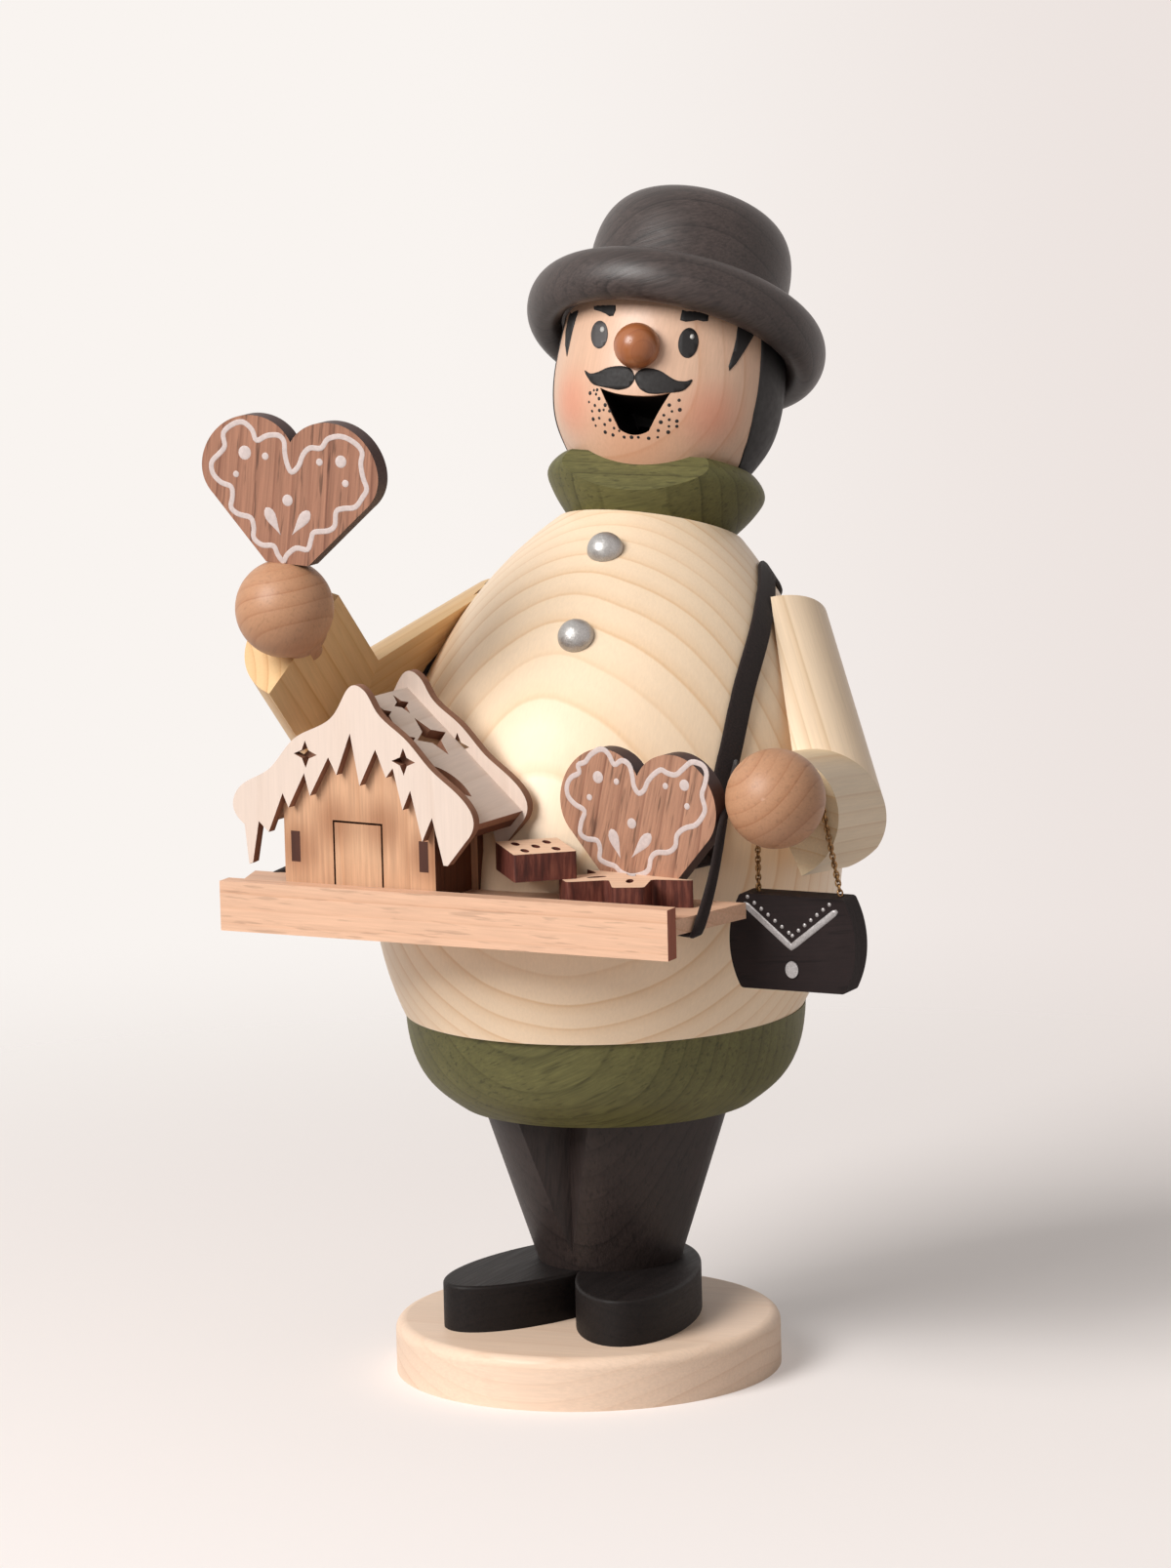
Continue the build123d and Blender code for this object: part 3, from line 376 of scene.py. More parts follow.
def mesh_piece(name, corners, faces, material, body, slot, smooth=True):
    """A new piece from corners and faces that rides on a body."""
    mesh = bpy.data.meshes.new(name)
    mesh.from_pydata([tuple(corner) for corner in corners], [], faces)
    mesh.validate()
    bm = bmesh.new()
    bm.from_mesh(mesh)
    bmesh.ops.recalc_face_normals(bm, faces=bm.faces)
    bm.to_mesh(mesh)
    bm.free()
    for polygon in mesh.polygons:
        polygon.use_smooth = smooth
    mesh.materials.append(material)
    piece = bpy.data.objects.new(name, mesh)
    bpy.context.scene.collection.objects.link(piece)
    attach(piece, body)
    return piece


def loft(sections, closed_path=False):
    """Corners and faces through closed sections of equal count, with end caps."""
    count = len(sections[0])
    corners = [corner for section in sections for corner in section]
    faces = []
    steps = len(sections) if closed_path else len(sections) - 1
    for step in range(steps):
        here = step * count
        there = (step + 1) % len(sections) * count
        for spot in range(count):
            after = (spot + 1) % count
            faces.append((here + spot, here + after, there + after, there + spot))
    if not closed_path:
        faces.append(tuple(reversed(range(count))))
        faces.append(tuple(range(len(corners) - count, len(corners))))
    return corners, faces


def smooth_path(points, steps=6, closed=False):
    """A smooth line through points, as more points."""
    count = len(points)
    spans = count if closed else count - 1
    line = []
    for span in range(spans):
        if closed:
            before, start, end, after = (points[(span + shift) % count] for shift in (-1, 0, 1, 2))
        else:
            start = points[span]
            end = points[span + 1]
            before = points[span - 1] if span else start + (start - end)
            after = points[span + 2] if span + 2 < count else end + (end - start)
        for step in range(steps):
            t = step / steps
            line.append(0.5 * (2 * start + (end - before) * t + (2 * before - 5 * start + 4 * end - after) * t * t
                               + (3 * start - before - 3 * end + after) * t ** 3))
    if not closed:
        line.append(points[-1])
    return line


paint_sink = 0.06 * MM
dome_sink = 0.05 * MM


def half_round(point, side, normal, half_width, height, sink=paint_sink, sides=7):
    """A low round section that stands on a surface, with both its ends sunk a little."""
    section = []
    for step in range(sides):
        angle = pi * step / (sides - 1)
        rise = height * sin(angle) - (sink if step in (0, sides - 1) else 0)
        section.append(point + side * (half_width * cos(angle)) + normal * rise)
    return section


def directions(points, normals, spot, closed=False):
    """The way that a line of points goes at one of them, and the way across it."""
    count = len(points)
    ahead = points[(spot + 1) % count] if closed or spot + 1 < count else points[spot]
    behind = points[spot - 1] if closed or spot else points[spot]
    forward = (ahead - behind).normalized()
    return forward, forward.cross(normals[spot]).normalized()


def bead(points, normals, width, height, closed=False):
    """A raised line of paint or icing that follows points on a surface."""
    sections = []
    for spot, point in enumerate(points):
        side = directions(points, normals, spot, closed)[1]
        share = 0.45 if not closed and spot in (0, len(points) - 1) else 1.0
        sections.append(half_round(point, side, normals[spot], width / 2 * share, height))
    return loft(sections, closed)


def merged(parts):
    """One list of corners and faces from several."""
    corners, faces = [], []
    for some_corners, some_faces in parts:
        start = len(corners)
        corners += list(some_corners)
        faces += [tuple(start + corner for corner in face) for face in some_faces]
    return corners, faces


def dome(centre, normal, radius, height, sides=16, rings=3):
    """A low round dab of paint."""
    first = normal.orthogonal().normalized()
    second = normal.cross(first).normalized()
    corners = []
    faces = []
    for ring in range(rings):
        angle = pi / 2 * ring / rings
        for side in range(sides):
            turn = 2 * pi * side / sides
            flat = first * cos(turn) + second * sin(turn)
            rise = height * sin(angle) - (dome_sink if ring == 0 else 0)
            corners.append(centre + flat * (radius * cos(angle)) + normal * rise)
    corners.append(centre + normal * height)
    for side in range(sides):
        after = (side + 1) % sides
        for ring in range(rings - 1):
            here = ring * sides
            faces.append((here + side, here + after, here + sides + after, here + sides + side))
        last = (rings - 1) * sides
        faces.append((last + side, last + after, rings * sides))
    faces.append(tuple(reversed(range(sides))))
    return corners, faces


# Paint on the head

blank_rows = 40
blank_columns = 180
blank_rise = 5


def head_blank_tree():
    """The head's round form without its mouth, for placing paint."""
    rings = []
    for row in range(blank_rows + 1):
        height = head_bottom + (head_top + blank_rise - head_bottom) * row / blank_rows
        radius = head_radius(height)
        turns = [2 * pi * column / blank_columns for column in range(blank_columns)]
        rings.append([leaning_point(turn, radius, height * MM) for turn in turns])
    return BVHTree.FromPolygons(*loft(rings))


blank_tree = head_blank_tree()


def seen_spot(tree, pixel, lift):
    """The spot on a surface that a pixel of the photograph shows, and the way it faces."""
    hit, normal = tree.ray_cast(camera_place, pixel_ray(pixel))[:2]
    if normal.dot(pixel_ray(pixel)) > 0:
        normal = -normal
    return hit + normal * lift, normal


patch_step = 5.0


def head_patch(outline, lift):
    """A thin film of paint on the head inside an outline of photograph pixels."""
    bm = bmesh.new()
    bm.faces.new([bm.verts.new((x, y, 0)) for x, y in outline])
    for axis in (0, 1):
        low = min(point[axis] for point in outline)
        high = max(point[axis] for point in outline)
        normal = Vector((1, 0, 0)) if axis == 0 else Vector((0, 1, 0))
        for line in range(1, int((high - low) / patch_step) + 1):
            every = bm.verts[:] + bm.edges[:] + bm.faces[:]
            bmesh.ops.bisect_plane(bm, geom=every, plane_co=normal * (low + line * patch_step), plane_no=normal)
    bm.verts.index_update()
    tops = [seen_spot(blank_tree, vert.co[:2], lift) for vert in bm.verts]
    corners = [spot for spot, normal in tops]
    faces = [tuple(vert.index for vert in face.verts) for face in bm.faces]
    below = [spot - normal * (1.6 * lift) for spot, normal in tops]
    count = len(corners)
    rims = []
    for edge in bm.edges:
        if len(edge.link_faces) == 1:
            first, second = (vert.index for vert in edge.verts)
            rims.append((first, second, second + count, first + count))
    bm.free()
    return corners + below, faces + rims


def oval_pixels(centre, half_width, half_height, tilt, sides=36):
    """An oval outline in photograph pixels."""
    turn = radians(tilt)
    points = []
    for side in range(sides):
        angle = 2 * pi * side / sides
        x = half_width * cos(angle)
        y = half_height * sin(angle)
        points.append((centre[0] + x * cos(turn) - y * sin(turn), centre[1] + x * sin(turn) + y * cos(turn)))
    return points


def smooth_outline(points, steps=4):
    """A smooth closed outline through pixels."""
    line = smooth_path([Vector((x, y, 0)) for x, y in points], steps, closed=True)
    return [(point.x, point.y) for point in line]


# The painted features, in pixels of the photograph
moustache_left = [
    (599.25, 379.5), (605, 382.75), (613, 381.25), (623, 376.75), (635, 375), (644, 376.5), (648.5, 380.5),
    (650.25, 387.5), (647.5, 393.75), (642.5, 397.75), (633.75, 399.5), (625, 398), (616.25, 396.25), (608, 393.75),
    (602.5, 387),
]
moustache_right = [
    (650.25, 387.5), (652.5, 382), (658.75, 377.75), (667.5, 377.5), (677.5, 380.5), (686.25, 386.25),
    (693.75, 390), (702.5, 390.75), (709.25, 389), (706.5, 395), (700, 400.25), (692.5, 402), (682.5, 402.75),
    (672.5, 403.75), (662.5, 402.5), (655, 397.5),
]
brow_left = [
    (608, 305), (609, 317.5), (615, 319.25), (620.5, 321.5), (624.5, 324.25), (628.5, 323.75), (631, 318),
    (631.25, 305),
]
brow_right = [
    (702.5, 306.25), (698.5, 320), (696.75, 328.25), (702.5, 329.75), (708, 329.25), (714.5, 328), (720.5, 329.5),
    (725.25, 329), (726.25, 320), (727.5, 307.5),
]
sideburn_left = [
    (581.25, 365.5), (579.5, 353.75), (580, 340), (583, 325), (588, 312.5), (595.5, 311.25), (590, 327.5),
    (586.5, 341.25), (583.5, 355),
]
sideburn_right = [
    (747.25, 380), (746.5, 375.5), (751, 361.25), (754.25, 347.5), (756.25, 331.25), (777.5, 333.75), (770.5, 347),
    (761.75, 361.25), (754, 373),
]
eye_left = oval_pixels((614.5, 343), 8.5, 14.25, 4)
eye_right = oval_pixels((705.25, 351.5), 10.25, 15.5, 7)
# Painted highlights on the eyes' black paint
eye_shine_left = oval_pixels((617.5, 337.75), 2, 2.75, 8)
eye_shine_right = oval_pixels((709.25, 345.25), 2.25, 2.5, 0)
stubble_dots = [
    (608.7, 399.9), (612, 399.6), (604.7, 403), (610.8, 404), (613.9, 408.6), (603.6, 412), (609.6, 415.5),
    (620.2, 415.1), (606.8, 421.3), (614.3, 420.6), (618.6, 420.1), (624.6, 421.3), (607.9, 429.6), (614, 428.5),
    (625.1, 430.5), (610.5, 436.2), (619.7, 435.1), (620.2, 442.9), (629.2, 438.8), (628.1, 445.8), (634.5, 441.5),
    (639.6, 448), (647.2, 448.1), (654.1, 448.1), (664.7, 449.2), (674, 448.1), (674.5, 441.2), (677.1, 432.7),
    (680.2, 425.5), (685.8, 415.2), (688.6, 421.6), (695.9, 410.2), (696.7, 420.1), (685.8, 430.1), (693.6, 431.6),
    (685.5, 436.9), (693.6, 436.9), (684.8, 442.9),
]
stubble_radius = 0.36 * MM
stubble_height = 0.07 * MM
paint_lift = 0.1 * MM
shine_lift = 0.16 * MM


def make_face_paint():
    black = paint("face black", srgb(17, 13, 13), 0.6, 0.05, 1600.0)
    # The left eye's black paint is lightened to grey: a painted reflection
    grey = paint("left eye black with painted reflection", srgb(74, 70, 70), 0.5, 0.05, 1800.0)
    # White for the painted highlights on both eyes
    white = paint("eye painted highlight", srgb(196, 194, 190), 0.4)
    dark = [
        smooth_outline(moustache_left), smooth_outline(moustache_right), brow_left, brow_right, sideburn_left,
        sideburn_right, eye_right,
    ]
    films = [head_patch(outline, paint_lift) for outline in dark]
    mesh_piece("face_paint", *merged(films), black, "figure", "face_wood")
    # Left eye: black paint greyed by a painted reflection
    mesh_piece("left_eye_black_and_painted_reflection", *head_patch(eye_left, paint_lift), grey, "figure", "face_wood")
    # Painted highlights on both eyes
    shines = [head_patch(outline, shine_lift) for outline in (eye_shine_left, eye_shine_right)]
    mesh_piece("eye_painted_highlights", *merged(shines), white, "figure", "face_wood")
    dots = []
    for number, point in enumerate(stubble_dots):
        spot, normal = seen_spot(blank_tree, point, 0)
        size = stubble_radius * (0.8 + 0.4 * ((number * 7) % 5) / 4)
        dots.append(dome(spot, normal, size, stubble_height, 10, 2))
    mesh_piece("stubble", *merged(dots), black, "figure", "face_wood")


hair_edge = [
    (head_bottom, 82), (95.6, 78.5), (98.0, 73.0), (101.0, 69.5), (104.0, 67.5), (115.0, 67.0), (head_top, 66.0),
]
hair_lift = 0.12 * MM
hat_slope = 4.4
hat_slope_start = radians(67)
hair_under_hat = 0.2


def edge_at(height):
    """How far round from the face's middle the hair starts at a height, in degrees."""
    for (low, low_angle), (high, high_angle) in zip(hair_edge, hair_edge[1:]):
        if height <= high:
            return low_angle + (high_angle - low_angle) * (height - low) / (high - low)
    return hair_edge[-1][1]


def make_hair():
    rows = 36
    columns = 96
    corners = []
    for lift in (hair_lift, -hair_lift):
        for row in range(rows + 1):
            edge = edge_at(head_bottom + (head_top - head_bottom) * row / rows)
            for column in range(columns + 1):
                angle = radians(edge + (360 - 2 * edge) * column / columns)
                slope = hat_slope * (cos(angle) - cos(hat_slope_start))
                top = head_top + hair_under_hat + slope
                height = head_bottom + (top - head_bottom) * row / rows
                corners.append(leaning_point(face_turn + angle, head_radius(height) + lift, height * MM))
    faces = []
    width = columns + 1
    layer = width * (rows + 1)
    for row in range(rows):
        for column in range(columns):
            first = row * width + column
            faces.append((first, first + 1, first + width + 1, first + width))
            faces.append((layer + first, layer + first + width, layer + first + width + 1, layer + first + 1))
        for column in (0, columns):
            first = row * width + column
            faces.append((first, first + width, layer + first + width, layer + first))
    for row in (0, rows):
        for column in range(columns):
            first = row * width + column
            faces.append((first, first + 1, layer + first + 1, layer + first))
    material = paint("hair black", srgb(17, 13, 13), 0.55, 0.03, 700.0)
    mesh_piece("hair", corners, faces, material, "figure", "face_wood")


# Icing on the hearts: points, and the dots' radii, in pixels of the photograph

raised_icing = dict(
    wave=[
        (298.8, 483.9), (294.2, 475.5), (291.8, 463.9), (290.9, 452.2), (284.8, 446.1), (273.2, 446.6),
        (262.9, 451.3), (258.2, 440.5), (248.9, 432.6), (238.2, 434.9), (228.9, 443.8), (230.3, 456.9),
        (225.6, 463.9), (217.2, 473.2), (218.1, 484.8), (226.5, 494.2), (236.8, 498.8), (238.2, 509.1),
        (236.8, 519.8), (244.2, 526.8), (256.8, 530.6), (260.1, 540.8), (260.1, 551.1), (268.5, 558.5),
        (280.2, 559.5), (284.8, 568.8), (290.4, 575.3), (294.2, 568.8), (303.5, 561.8), (315.1, 563.2),
        (318.9, 552.5), (322.1, 545.5), (336.1, 544.1), (343.1, 538.5), (344.5, 524.5), (352.5, 521.2),
        (364.1, 519.8), (372, 509.1), (375.8, 501.2), (372, 489.5), (369.7, 475.5), (371.1, 463.9), (364.1, 454.5),
        (350.1, 447.5), (336.1, 449.9), (329.1, 459.2), (317.5, 459.2), (310.5, 466.2), (305.8, 477.9),
    ],
    dots=[
        (250.8, 463.9, 7.93), (271.8, 467.6, 4.2), (241.9, 485.8, 3.73), (327.3, 473.7, 4.2), (349.2, 473.2, 7),
        (353.9, 495.6, 4.2), (294.6, 512.8, 6.53),
    ],
    drops=[((274.1, 523.1), (287.2, 547.8)), ((315.1, 526.4), (299.7, 547.8))],
)
tray_icing = dict(
    wave=[
        (654.6, 813.1), (649.6, 805.7), (647.7, 794.2), (644.5, 784.1), (637.1, 779.5), (629.3, 783.6),
        (623.3, 772.5), (615.5, 767.9), (605.3, 773.5), (599.8, 780.8), (592.4, 784.1), (593.4, 791.9),
        (585.1, 797), (580.9, 805.7), (582.3, 815.9), (589.2, 824.2), (598.9, 831.1), (595.7, 842.6),
        (594.7, 853.7), (601.2, 859.6), (611.8, 861.5), (615, 870.2), (614.6, 879.9), (621, 884.5), (630.2, 887.8),
        (636.2, 893.7), (646.4, 897.9), (657.9, 896), (664.8, 891), (667.1, 879.5), (673.1, 873.9), (684.6, 873.5),
        (692, 867.5), (693.8, 856), (701.7, 849), (712.3, 845.8), (719.2, 838), (722.4, 828.8), (719.2, 814.9),
        (722.4, 803.4), (723.8, 791.9), (719.2, 784.1), (708.6, 781.3), (700.3, 787.8), (692.4, 794.2),
        (683.7, 792.4), (677.2, 789.1), (669.4, 794.2), (663.4, 801.6), (660.2, 809.4),
    ],
    dots=[
        (612.7, 796.5, 6.91), (631.6, 801.1, 3.69), (604, 817.2, 3.69), (681.8, 805.7, 3.69), (701.2, 804.8, 6.45),
        (704, 826.5, 3.69), (647.3, 844, 5.99),
    ],
    drops=[((627, 852.7), (635.8, 879.5)), ((664.8, 857.3), (647.7, 878.5))],
)
pixel_size = 1 / 6150
icing_width = 1.0 * MM
icing_height = 0.05 * MM
icing_dab_height = icing_height * 1.3
icing_drop_width = 2.2 * MM
drop_outline = [
    (-0.12, 0.0), (-0.06, 0.55), (0.08, 0.92), (0.25, 1.0), (0.45, 0.8), (0.7, 0.42), (0.9, 0.14), (1.02, 0.0),
]
tray_heart_turn = -9


def drop_shape(start, end, normal, width, height):
    """A teardrop dab of icing, round at its start and pointed at its end."""
    axis = end - start
    side = axis.normalized().cross(normal).normalized()
    sections = []
    for forward, wide in drop_outline:
        wide = max(wide, 0.04)
        middle = start + axis * forward
        sections.append(half_round(middle, side, normal, width / 2 * wide, height * wide, dome_sink))
    return loft(sections)


def make_icing(name, point, normal, wave, dots, drops):
    material = paint("icing " + name, srgb(208, 192, 188), 0.7, 0.06, 1500.0)

    def placed(points):
        return [pixel_on_plane(pixel, point, normal) for pixel in points]

    line = smooth_path(placed(wave), 4, closed=True)
    parts = [bead(line, [normal] * len(line), icing_width, icing_height, closed=True)]
    for x, y, radius in dots:
        parts.append(dome(placed([(x, y)])[0], normal, radius * pixel_size, icing_dab_height))
    for ends in drops:
        parts.append(drop_shape(*placed(ends), normal, icing_drop_width, icing_dab_height))
    mesh_piece(name, *merged(parts), material, "figure", "walnut")


def heart_plane(node, turn):
    """A point on a heart's front and the front's direction."""
    low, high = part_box(node)
    normal = Vector((sin(radians(turn)), -cos(radians(turn)), 0))
    mesh = frame["nodes"][node].data
    reach = max(vertex.co.dot(normal) for vertex in mesh.vertices)
    centre = (low + high) / 2
    return centre + normal * (reach - centre.dot(normal)), normal


# The purse's paint and its chain

purse_band = [(762, 925), (811, 971), (861, 931)]
purse_dots = [(766, 919), (812, 959), (853, 924.5)]
purse_dots_each_side = 7
purse_band_steps = 16
purse_band_width = 1.2 * MM
purse_band_height = 0.12 * MM
purse_dot_radius = 0.4 * MM
purse_dot_height = 0.16 * MM


def part_way(start, end, share):
    """The pixel part of the way from one pixel to another."""
    return start[0] + (end[0] - start[0]) * share, start[1] + (end[1] - start[1]) * share


def make_purse_paint():
    tree = node_tree("purse")
    pixels = []
    for ends in zip(purse_band, purse_band[1:]):
        pixels += [part_way(*ends, step / purse_band_steps) for step in range(purse_band_steps)]
    places, normals = zip(*(seen_spot(tree, pixel, 0) for pixel in pixels))
    parts = [bead(places, normals, purse_band_width, purse_band_height)]
    for ends in zip(purse_dots, purse_dots[1:]):
        for number in range(purse_dots_each_side):
            pixel = part_way(*ends, number / (purse_dots_each_side - 0.5))
            parts.append(dome(*seen_spot(tree, pixel, 0), purse_dot_radius, purse_dot_height, 12, 2))
    mesh_piece("purse_paint", *merged(parts), silver("band silver", srgb(176, 172, 172)), "purse", "silver_paint")


link_long = 0.6 * MM
link_wide = 0.4 * MM
link_wire = 0.16 * MM
link_pitch = 0.76 * MM
chain_ring = 5.35 * MM
chain_inset = 0.45 * MM
chain_foot_lift = 0.2 * MM
chain_arc_steps = 12
chain_fine_steps = 40


def link(centre, direction, across):
    """One oval link of wire."""
    sections = []
    steps = 12
    sides = 6
    flat = direction.cross(across).normalized()
    for step in range(steps):
        turn = 2 * pi * step / steps
        ring = direction * (link_long * cos(turn)) + across * (link_wide * sin(turn))
        out = (direction * cos(turn) + across * sin(turn)).normalized()
        section = []
        for side in range(sides):
            angle = 2 * pi * side / sides
            section.append(centre + ring + out * (link_wire * cos(angle)) + flat * (link_wire * sin(angle)))
        sections.append(section)
    return loft(sections, closed_path=True)


def make_chain():
    """Links from one end of the purse, over the hand's neck, to the other end."""
    hinge = next(joint for joint in frame["joints"] if joint["name"] == "purse_swing")
    centre = Vector(hinge["pos_m"])
    axis = Vector(hinge["axis"]).normalized()
    side = Vector((0, 0, 1)).cross(axis).normalized()
    rise = axis.cross(side)
    low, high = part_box("purse")
    chain_low, chain_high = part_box("purse_chain")
    middle = (low.y + high.y) / 2
    left_foot = Vector((chain_low.x + chain_inset, middle, high.z + chain_foot_lift))
    right_foot = Vector((chain_high.x - chain_inset, middle, high.z + chain_foot_lift))
    path = [left_foot, left_foot.lerp(centre - side * chain_ring, 0.5), centre - side * chain_ring]
    for step in range(1, chain_arc_steps):
        angle = pi * step / chain_arc_steps
        path.append(centre - side * (chain_ring * cos(angle)) + rise * (chain_ring * sin(angle)))
    path += [centre + side * chain_ring, right_foot.lerp(centre + side * chain_ring, 0.5), right_foot]
    fine = []
    for start, end in zip(path, path[1:]):
        fine += [start.lerp(end, step / chain_fine_steps) for step in range(chain_fine_steps)]
    parts = []
    travelled = 0.0
    for start, end in zip(fine, fine[1:]):
        travelled += (end - start).length
        if travelled >= len(parts) * link_pitch:
            direction = (end - start).normalized()
            first = direction.cross(Vector((0, 1, 0.3))).normalized()
            second = direction.cross(first).normalized()
            diagonal = first + second if len(parts) % 2 else first - second
            parts.append(link(start, direction, diagonal.normalized()))
    nodes = Nodes("chain brass")
    tarnish = nodes.noise(nodes.place(), 1800.0, 2.0)
    nodes.set(colour=nodes.ramp(tarnish, [(0.3, srgb(96, 68, 42)), (0.7, srgb(174, 134, 88))]), metallic=0.8)
    nodes.set(roughness=0.35)
    piece = mesh_piece("chain_links", *merged(parts), nodes.material, "purse", "chain_metal")
    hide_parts("purse_chain")


# The strap

strap_thickness = 0.9 * MM
strap_half_width = 2.1 * MM
strap_end_pixels = {"left": (670, 896), "right": (284, 898)}
tail_start = (54.5, 40)
tail_middle = ((743, 832), -30.0)
tail_bends = [(733, 888), (725, 922), (715, 944)]
tail_half_width = 1.25 * MM
tail_fold_start = 0.62
tail_fold_share = 0.25
tail_first_width = 0.55
tail_widening = 0.8
tray_flare = 4.5 * MM
strap_gap = 0.1 * MM
run_narrowing = 0.85
# Degrees round the torso from its front, and millimetres along its leaning axis
strap_route = [
    (180, 76.5), (150, 76.6), (120, 77.4), (95, 77.8), (78, 72.0), (67, 64.0), (58.5, 54.0), (53.5, 42.0),
    (51, 32.0), (50.5, 24.0),
]


def on_torso(angle, height, lift):
    """A point just above the torso's surface, with the surface's direction."""
    axis = leaning_point(0, 0, height * MM)
    start = leaning_point(radians(angle), 80 * MM, height * MM)
    hit, normal = torso_tree.ray_cast(start, (axis - start).normalized())[:2]
    return hit + normal * lift, normal


def ribbon_section(point, side, normal, half_width, half_thickness):
    """A flat section with rounded edges."""
    section = []
    for corner_side, start in ((1, -90), (-1, 90)):
        for step in range(5):
            angle = radians(start + 45 * step)
            x = corner_side * (half_width - half_thickness) + half_thickness * cos(angle)
            section.append(point + side * x + normal * (half_thickness * sin(angle)))
    return section


def ribbon(points, normals, half_widths):
    """A strap's form along points, its flat side facing along the normals."""
    sections = []
    for spot, point in enumerate(points):
        forward, side = directions(points, normals, spot)
        normal = side.cross(forward).normalized()
        sections.append(ribbon_section(point, side, normal, half_widths[spot], strap_thickness / 2))
    return loft(sections)


def left_tail(tray_low, tray_high, lift):
    """The strap's narrow tail, from under the left hand over the side of the tray's floor."""
    along_edge = Vector((tray_flare, tray_high.y - tray_low.y, 0)).normalized()
    out = Vector((along_edge.y, -along_edge.x, 0))
    side = Vector((tray_high.x, tray_high.y, 0)) + out * (strap_thickness / 2 + strap_gap)
    start = on_torso(*tail_start, lift + strap_thickness)[0]
    pixel, y = tail_middle
    middle = pixel_on_plane(pixel, Vector((0, y * MM, 0)), Vector((0, 1, 0)))
    bends = [pixel_on_plane(pixel, side, out) for pixel in tail_bends]
    bends[-1].z = tray_low.z + 0.2 * MM
    under = Vector((bends[-1].x, bends[-1].y, tray_low.z - strap_thickness / 2 - strap_gap))
    points = smooth_path([start, middle, *bends, under - out * 0.9 * MM, under - out * 4 * MM], 8)
    normals = []
    widths = []
    for spot in range(len(points)):
        share = spot / (len(points) - 1)
        turned = min(1.0, max(0.0, (share - tail_fold_start) / tail_fold_share))
        normals.append(out.lerp(Vector((0, 0, -1)), turned).normalized())
        widths.append(tail_half_width * min(1.0, tail_first_width + tail_widening * share))
    return ribbon(points, normals, widths)


def right_tail(run, tray_low, tray_high):
    """The other tail, folded down over the back edge of the tray's floor."""
    end = run[-1]
    back = tray_high.y + strap_thickness / 2 + strap_gap
    under = tray_low.z - strap_thickness / 2 - strap_gap
    middle = (tray_low.z + tray_high.z) / 2
    spots = [run[-3], end, (end.x, back, middle), (end.x, back - 0.7 * MM, under), (end.x, back - 5 * MM, under)]
    points = smooth_path([Vector(spot) for spot in spots], 6)
    normals = []
    for spot in range(len(points)):
        share = spot / (len(points) - 1)
        normals.append(Vector((0, 0.4, 1)).lerp(Vector((0, 0.6, -1)), share).normalized())
    return ribbon(points, normals, [tail_half_width] * len(points))


def make_straps():
    material = leather("strap leather")
    lift = strap_thickness / 2 + 0.05 * MM
    tray_low, tray_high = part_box("tray_floor")
    for side, name in ((1, "left"), (-1, "right")):
        route = [Vector((angle * side, height, 0)) for angle, height in strap_route]
        fine = smooth_path(route, 7)
        spots = [on_torso(spot.x, spot.y, lift) for spot in fine]
        points = [point for point, normal in spots]
        normals = [normal for point, normal in spots]
        back_edge = Vector((0, tray_high.y + 0.5 * MM, 0))
        edge = pixel_on_plane(strap_end_pixels[name], back_edge, Vector((0, 1, 0)))
        run = smooth_path([points[-1], points[-1].lerp(edge, 0.5) + Vector((0, 0, 0.3 * MM)), edge], 6)
        out = Vector((side * 0.35, -0.55, 0.75)).normalized()
        widths = [strap_half_width] * len(points) + [strap_half_width * run_narrowing] * (len(run) - 1)
        body = ribbon(points + run[1:], normals + [out] * (len(run) - 1), widths)
        tail = left_tail(tray_low, tray_high, lift) if side > 0 else right_tail(run, tray_low, tray_high)
        piece = mesh_piece(name + "_strap_leather", *merged([body, tail]), material, "figure", "black_leather")
        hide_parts(name + "_strap_end", name + "_strap_tail")
        if side > 0:
            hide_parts("strap")


# Materials for the pieces whose shape is right as it is

face_pith = (6, 60, 100)
face_early = srgb(226, 187, 160)
face_late = srgb(206, 155, 122)
# Height of the painted shade under the chin, which faces down
chin_shade_height = 93.5
# Degrees round from the front, and millimetres along the leaning axis
cheeks = [(50.7, 102.1), (-33.1, 102.6)]
cheek_radius = 18.5 * MM
mouth_bottom = 96.6 * MM
mouth_top = 105.2 * MM
mouth_skin_height = 97 * MM
mouth_skin_radius = 16.15 * MM
mouth_skin_slope = 0.39


